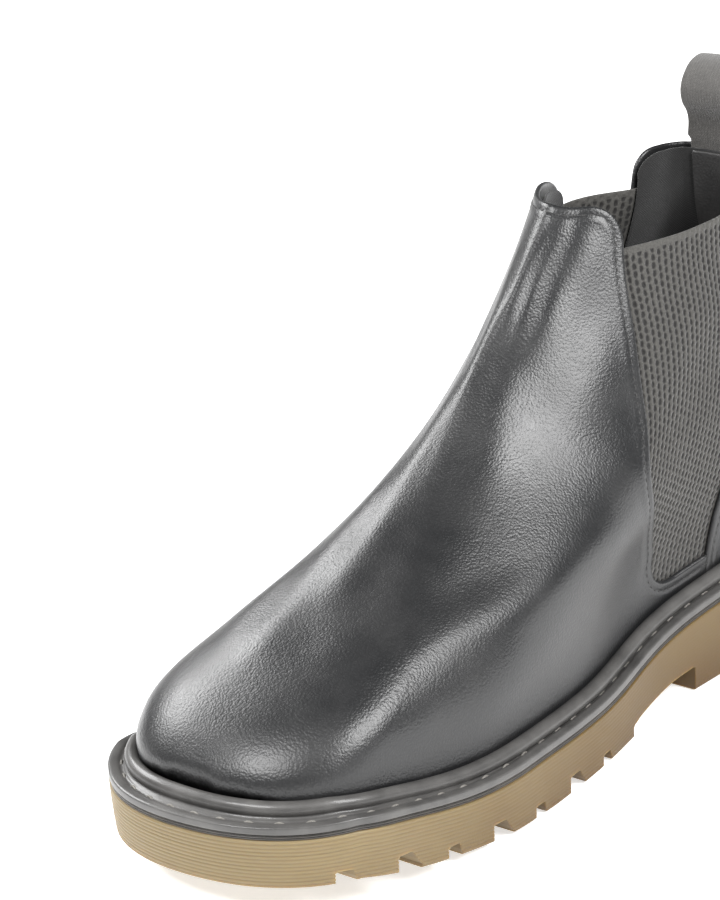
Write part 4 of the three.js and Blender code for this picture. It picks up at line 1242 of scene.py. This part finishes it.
# ---------------------------------------------------------------- outsole
RIB_PITCH = 1.25
WALL_ROWS = 74
SOLE_TOP = -5.14
top_row = beside(SOLE_OUT, SOLE_TOP)
ground = ground_height(top_row[:, 1] - CENTRE_Y)
tall = top_row[:, 2] - ground
rib_strength = 0.3 * (0.35 + 0.65 * fade(0.05, 0.75, toe_share)) * (1 - 0.75 * fade(-10, 40, top_row[:, 1]))
outsole_rows = []
rib_shade = []
edge_steps = [(1.6, 0.0), (0.8, 0.04), (0.3, 0.2), (0.05, 0.5)]
for inset, lift in edge_steps:
    row = beside(SOLE_OUT - inset - 0.5, 0)
    row[:, 2] = ground_height(row[:, 1] - CENTRE_Y) + lift
    outsole_rows.append(row)
    rib_shade.append(np.zeros(RING_COLUMNS))
for k in range(WALL_ROWS):
    share = k / (WALL_ROWS - 1)
    height = 0.9 + (tall - 1.5) * share
    phase = 2 * math.pi * (tall - height) / RIB_PITCH
    rib = rib_strength * (np.sqrt(np.abs(np.sin(phase / 2))) - 0.75)
    lean = -0.55 * (1 - share) ** 2
    row = beside(SOLE_OUT + lean + rib, 0)
    row[:, 2] = ground + height
    outsole_rows.append(row)
    # rib_shade is painted shade: how deep each point sits in a groove between ribs, used only to darken the amber
    # there.
    rib_shade.append(rib_strength * 1.1 * (1 - np.sqrt(np.abs(np.sin(phase / 2)))))
for inset, drop in ((0.12, 0.28), (0.4, 0.08), (1.0, 0.0)):
    row = beside(SOLE_OUT - inset, SOLE_TOP - drop)
    outsole_rows.append(row)
    rib_shade.append(np.zeros(RING_COLUMNS))
outsole = finish_object(
    "lug_outsole", np.vstack(outsole_rows), capped(outsole_rows), "boot", AMBER_RUBBER,
    ("outsole",),
)
# The painted groove shade is stored on the outsole as the rib attribute.
shade_attribute = outsole.data.attributes.new("rib", "FLOAT", "POINT")
shade_attribute.data.foreach_set("value", np.concatenate(rib_shade))


def prism(outline, x0, x1):
    """Closed prism along x from a (y, z) outline, with the shift of the boot's frame applied."""
    k = len(outline)
    verts = [(x, y + CENTRE_Y, z) for x in (x0, x1) for y, z in outline]
    faces = [tuple(range(k)), tuple(reversed(range(k, 2 * k)))]
    faces += [(i + k, (i + 1) % k + k, (i + 1) % k, i) for i in range(k)]
    return verts, faces


def edge_x(side, y):
    """Where the sole's edge is, at a station along the boot."""
    mine = top_row[:, 0] > 0 if side > 0 else top_row[:, 0] < 0
    rows = top_row[mine]
    return float(rows[np.argmin(np.abs(rows[:, 1] - CENTRE_Y - y)), 0])


def notch(y, width, depth, slope):
    z = float(ground_height(y))
    r = 0.6
    outline = [
        (y - width / 2, z - 3), (y + width / 2 + slope, z - 3), (y + width / 2 + slope, z - 0.1),
        (y + width / 2 + slope * 0.55, z + depth * 0.42), (y + width / 2 + r, z + depth - 0.25),
        (y + width / 2 - r * 0.4, z + depth), (y - width / 2 + r, z + depth), (y - width / 2, z + depth - r),
    ]
    right, left = edge_x(1, y), edge_x(-1, y)
    return [prism(outline, right - 13, right + 9), prism(outline, left - 9, left + 13)]


WAIST_FRONT, HEEL_BREAST, LUG_PITCH = 12.0, 51.0, 40.0
cutters = []
first = WAIST_FRONT - LUG_PITCH
for k in range(3):
    cutters += notch(first - LUG_PITCH * k, 5, 6, 4.5)
for k in range(4):
    cutters += notch(first + LUG_PITCH * (0.5 - k), 4, 4.2, 2)
for k in range(3):
    cutters += notch(HEEL_BREAST + 20 + 24 * k, 4.5, 6, 3 if k == 0 else 0.5)
waist = [
    (WAIST_FRONT, -3), (HEEL_BREAST, -3), (HEEL_BREAST, 8.2), (HEEL_BREAST - 1, 8.7), (HEEL_BREAST - 12, 8.2),
    (WAIST_FRONT + 5, 5.2), (WAIST_FRONT + 0.8, 4.2), (WAIST_FRONT, 3.4),
]
cutters.append(prism(waist, -90, 90))
for k in range(5):
    y = first + LUG_PITCH * (0.5 - 0.5 * k) - 9
    z = float(ground_height(y))
    cutters.append(prism([(y - 2.5, z - 3), (y + 2.5, z - 3), (y + 2, z + 4), (y - 2, z + 4)], -26, 20))


def cut_away(piece, prisms):
    """Cuts prisms from a piece, one batch of non-touching prisms at a time."""
    verts, faces = [], []
    for v, f in prisms:
        start = len(verts)
        verts += v
        faces += [tuple(i + start for i in face) for face in f]
    mesh = bpy.data.meshes.new("cutter")
    mesh.from_pydata((np.asarray(verts) * MM).tolist(), [], faces)
    face_outward(mesh)
    cutter = bpy.data.objects.new("cutter", mesh)
    bpy.context.scene.collection.objects.link(cutter)
    modifier = piece.modifiers.new("cut", "BOOLEAN")
    modifier.operation = "DIFFERENCE"
    modifier.solver = "EXACT"
    modifier.object = cutter
    bpy.context.view_layer.update()
    graph = bpy.context.evaluated_depsgraph_get()
    cut = bpy.data.meshes.new_from_object(piece.evaluated_get(graph), depsgraph=graph)
    piece.modifiers.clear()
    piece.data = cut
    bpy.data.objects.remove(cutter)


cut_away(outsole, cutters)

# ---------------------------------------------------------------- footbed
FOOTBED_BASE, FOOTBED_THICK = 7.3, 4.0
inner_edge = beside(-7.6, 0)
half_ring = RING_COLUMNS // 2
stations = np.arange(10, half_ring - 9, 4)
lateral_edge = inner_edge[stations]
medial_edge = inner_edge[(RING_COLUMNS - stations) % RING_COLUMNS]


def cushion(name, left, right, base, thick, material, replaced):
    """A soft pad between two matching edges, crowned and thin at its rim, cupped at the heel."""
    count, width = len(left), 41
    t = np.linspace(0, 1, width)[None, :, None]
    flat_grid = left[:, None, :] * (1 - t) + right[:, None, :] * t
    floor = feather_height(flat_grid[..., 1] - CENTRE_Y) + base
    side = np.abs(2 * t[..., 0] - 1)
    ends = np.clip(np.minimum(np.arange(count), np.arange(count)[::-1]) / 9.0, 0, 1)[:, None]
    rim = (1 - side**9) ** 0.5 * np.sqrt(1 - (1 - ends) ** 2)
    cup = 1.6 * side**3 * fade(20, 70, flat_grid[..., 1]) - 0.5 * np.exp(-((side / 0.5) ** 2))
    quilt = 0.12 * np.sin(flat_grid[..., 1] * 1.1) * np.sin(flat_grid[..., 0] * 1.1)
    top = floor + 0.6 + (thick - 0.6) * rim + (cup + quilt) * rim
    under = floor + 0.6 * (1 - rim) * 0.5
    upper = np.dstack([flat_grid[..., :2], top[..., None]]).reshape(-1, 3)
    lower = np.dstack([flat_grid[..., :2], under[..., None]]).reshape(-1, 3)
    verts = np.vstack([upper, lower])
    piece = finish_object(name, verts, pad_faces(count, width), "boot", material, replaced)
    face_outward(piece.data)
    return piece


footbed = cushion(
    "cushioned_footbed", medial_edge, lateral_edge, FOOTBED_BASE, FOOTBED_THICK, FOOTBED_CLOTH,
    ("footbed",),
)

# ---------------------------------------------------------------- pull loop
ROOT = Vector((0.0, (loop_low.y + loop_high.y) / 2, loop_low.z + 0.0009))
LOOP_HALF = (loop_high.x - loop_low.x) / 2 / MM
WEB_THICK = 0.95
root_y, root_z = ROOT.y / MM, loop_low.z / MM


def collar_back(x, z):
    """Surface point and normal of the back of the shaft at x, z, arrays."""
    v = (z - HEEL_THICKNESS) / (SHAFT_HEIGHT * 0.89)
    angles = np.linspace(140, 220, 161)
    spots = last_point(angles, float(v))
    order = np.argsort(spots[:, 0])
    at = np.interp(x, spots[order, 0], angles[order])
    point, normal, _, _ = last_frame(at, np.full(len(at), float(v)))
    return point, normal


def catmull(points, steps):
    """Smooth run through points."""
    points = np.asarray(points, float)
    padded_run = np.vstack([2 * points[0] - points[1], points, 2 * points[-1] - points[-2]])
    out = []
    for k in range(1, len(padded_run) - 2):
        p0, p1, p2, p3 = padded_run[k - 1 : k + 3]
        for t in np.arange(steps) / steps:
            square, cube = 2 * p0 - 5 * p1 + 4 * p2 - p3, 3 * p1 - 3 * p2 + p3 - p0
            out.append(0.5 * (2 * p1 + (p2 - p0) * t + square * t**2 + cube * t**3))
    out.append(padded_run[-2])
    return np.array(out)


TEARDROP = [
    (0.55, 0.5), (1.2, 5.2), (2.6, 10.0), (4.9, 15.0), (6.5, 20.0), (6.2, 23.6), (3.9, 25.7), (0.2, 26.2),
    (-3.9, 24.8), (-6.7, 21.4), (-7.6, 17.2), (-6.2, 12.8), (-2.6, 8.6), (-0.7, 4.8), (-0.55, 0.5),
]
LOOP_LEAN = 0.22
above = catmull([(root_y + y + LOOP_LEAN * max(z - 2, 0), root_z + z) for y, z in TEARDROP], 9)
tail_z = np.arange(root_z - 20.0, root_z - 0.4, 1.0)
web_columns = 81
web_x = np.linspace(-LOOP_HALF + 0.1, LOOP_HALF - 0.1, web_columns) + CENTRE_X
centre_rows, normal_rows = [], []
top_spot, _ = collar_back(web_x, root_z)
middle = web_columns // 2
bow = top_spot[:, 1] - top_spot[middle, 1]
for z in tail_z:
    spot, normal = collar_back(web_x, z)
    centre_rows.append(spot - normal * (LEATHER + 0.12 + WEB_THICK / 2))
    normal_rows.append(normal)
for k, (y, z) in enumerate(above):
    y1, z1 = above[max(k - 1, 0)]
    y2, z2 = above[min(k + 1, len(above) - 1)]
    normal = np.array([0.0, z2 - z1, -(y2 - y1)])
    normal /= np.linalg.norm(normal)
    loose = 1 - 0.75 * float(fade(root_z + 1, root_z + 14, z))
    row = np.stack([web_x, y + bow * loose, np.full(web_columns, z)], -1)
    row[:, 2] -= 0.35 * float(fade(root_z + 12, root_z + 24, z)) * np.abs((web_x - CENTRE_X) / LOOP_HALF) ** 2
    centre_rows.append(row)
    normal_rows.append(np.tile(normal, (web_columns, 1)))
for z in tail_z[::-1]:
    spot, normal = collar_back(web_x, z)
    centre_rows.append(spot - normal * (LEATHER + 0.16 + WEB_THICK * 1.5))
    normal_rows.append(-normal)
centre = np.array(centre_rows)
facing = np.array(normal_rows)
count = len(centre)
run_length = np.concatenate([[0], np.cumsum(np.linalg.norm(np.diff(centre[:, middle], axis=0), axis=1))])
from_side = LOOP_HALF - np.abs(web_x - CENTRE_X)
ribs = 0.09 * np.abs(np.sin((web_x - CENTRE_X) * math.pi / 1.15)) * fade(0.9, 1.4, from_side)
selvage = 0.08 * (1 - fade(0.9, 1.3, from_side))
picks = 0.03 * np.sin(run_length * 2 * math.pi / 0.9)
woven = fade(0.9, 1.4, from_side)
rounding = np.sqrt(np.clip(1 - (1 - np.clip(from_side / 0.35, 0, 1)) ** 2, 0.04, 1))
half_web = WEB_THICK / 2 - 0.1 + ribs[None, :] + selvage[None, :] + picks[:, None] * woven[None, :]
half_web = half_web * rounding[None, :]
front_face = centre + facing * half_web[..., None]
back_face = centre - facing * half_web[..., None]
web_uv = np.stack(np.broadcast_arrays(web_x[None, :], run_length[:, None]), -1).reshape(-1, 2)
web = finish_object(
    "pull_loop_webbing", np.vstack([front_face.reshape(-1, 3), back_face.reshape(-1, 3)]),
    pad_faces(count, web_columns), None, LOOP_WEBBING, (), uv=np.tile(web_uv, (2, 1)),
)
face_outward(web.data)
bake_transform(web)
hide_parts("pull_loop", "pull_loop_ends")

# ---------------------------------------------------------------- stage
backdrop_material, nodes, links, shader = tree_of("pale_floor")
cloud = nodes.new("ShaderNodeTexNoise")
cloud.inputs["Scale"].default_value = 1.5
links.new(object_position(nodes), cloud.inputs["Vector"])
links.new(
    blend_colours(nodes, links, cloud.outputs["Fac"], (0.93, 0.93, 0.93), (0.95, 0.95, 0.95)),
    shader.inputs["Base Color"],
)
shader.inputs["Roughness"].default_value = 0.9
shader.inputs["Specular IOR Level"].default_value = 0.1
shader.inputs["Emission Color"].default_value = (1.0, 1.0, 1.0, 1.0)
shader.inputs["Emission Strength"].default_value = 0.62
floor_mesh = bpy.data.meshes.new("floor")
corners = [(x, y, -0.0004) for x, y in ((-8, -8), (8, -8), (8, 8), (-8, 8))]
floor_mesh.from_pydata(corners, [], [(0, 1, 2, 3)])
floor_mesh.materials.append(backdrop_material)
floor = bpy.data.objects.new("floor", floor_mesh)
bpy.context.scene.collection.objects.link(floor)

world = bpy.data.worlds.new("studio")
world.use_nodes = True
world.node_tree.nodes["Background"].inputs["Color"].default_value = (1.0, 1.0, 1.0, 1.0)
world.node_tree.nodes["Background"].inputs["Strength"].default_value = 0.16
bpy.context.scene.world = world


def softbox(name, spot, aim, size, power):
    light = bpy.data.lights.new(name, "AREA")
    light.shape = "RECTANGLE"
    light.size, light.size_y = size
    light.energy = power
    lamp = bpy.data.objects.new(name, light)
    bpy.context.scene.collection.objects.link(lamp)
    lamp.location = spot
    lamp.rotation_euler = (Vector(aim) - Vector(spot)).to_track_quat("-Z", "Y").to_euler()
    return lamp


softbox("left_window", (-1.4, 0.0, 1.0), (0, 0, 0.08), (1.2, 0.5), 23)
softbox("right_window", (1.1, 0.02, 1.12), (0, 0, 0.08), (0.75, 0.85), 31)
softbox("front_window", (-0.22, -1.15, 1.3), (0, -0.05, 0.05), (0.8, 0.4), 23)

LENS, DISTANCE = 207.05, 1.253
AIM = Vector((0.013503, -0.069279, 0.121953))
azimuth, elevation, roll = math.radians(43.224), math.radians(21.384), math.radians(-5.233)
backward = Vector((
    math.sin(azimuth) * math.cos(elevation), -math.cos(azimuth) * math.cos(elevation), math.sin(elevation)
))
right = (-backward).cross(Vector((0, 0, 1))).normalized()
upward = right.cross(-backward)
right_rolled = right * math.cos(roll) + upward * math.sin(roll)
up_rolled = upward * math.cos(roll) - right * math.sin(roll)
camera_data = bpy.data.cameras.new("camera")
camera_data.sensor_fit = "HORIZONTAL"
camera_data.sensor_width = 36
camera_data.lens = LENS
camera_data.clip_end = 60
camera = bpy.data.objects.new("camera", camera_data)
bpy.context.scene.collection.objects.link(camera)
place_at = Matrix((right_rolled, up_rolled, backward)).transposed().to_4x4()
place_at.translation = AIM + backward * DISTANCE
camera.matrix_world = place_at
bpy.context.scene.camera = camera
bpy.context.scene.view_settings.view_transform = "Standard"
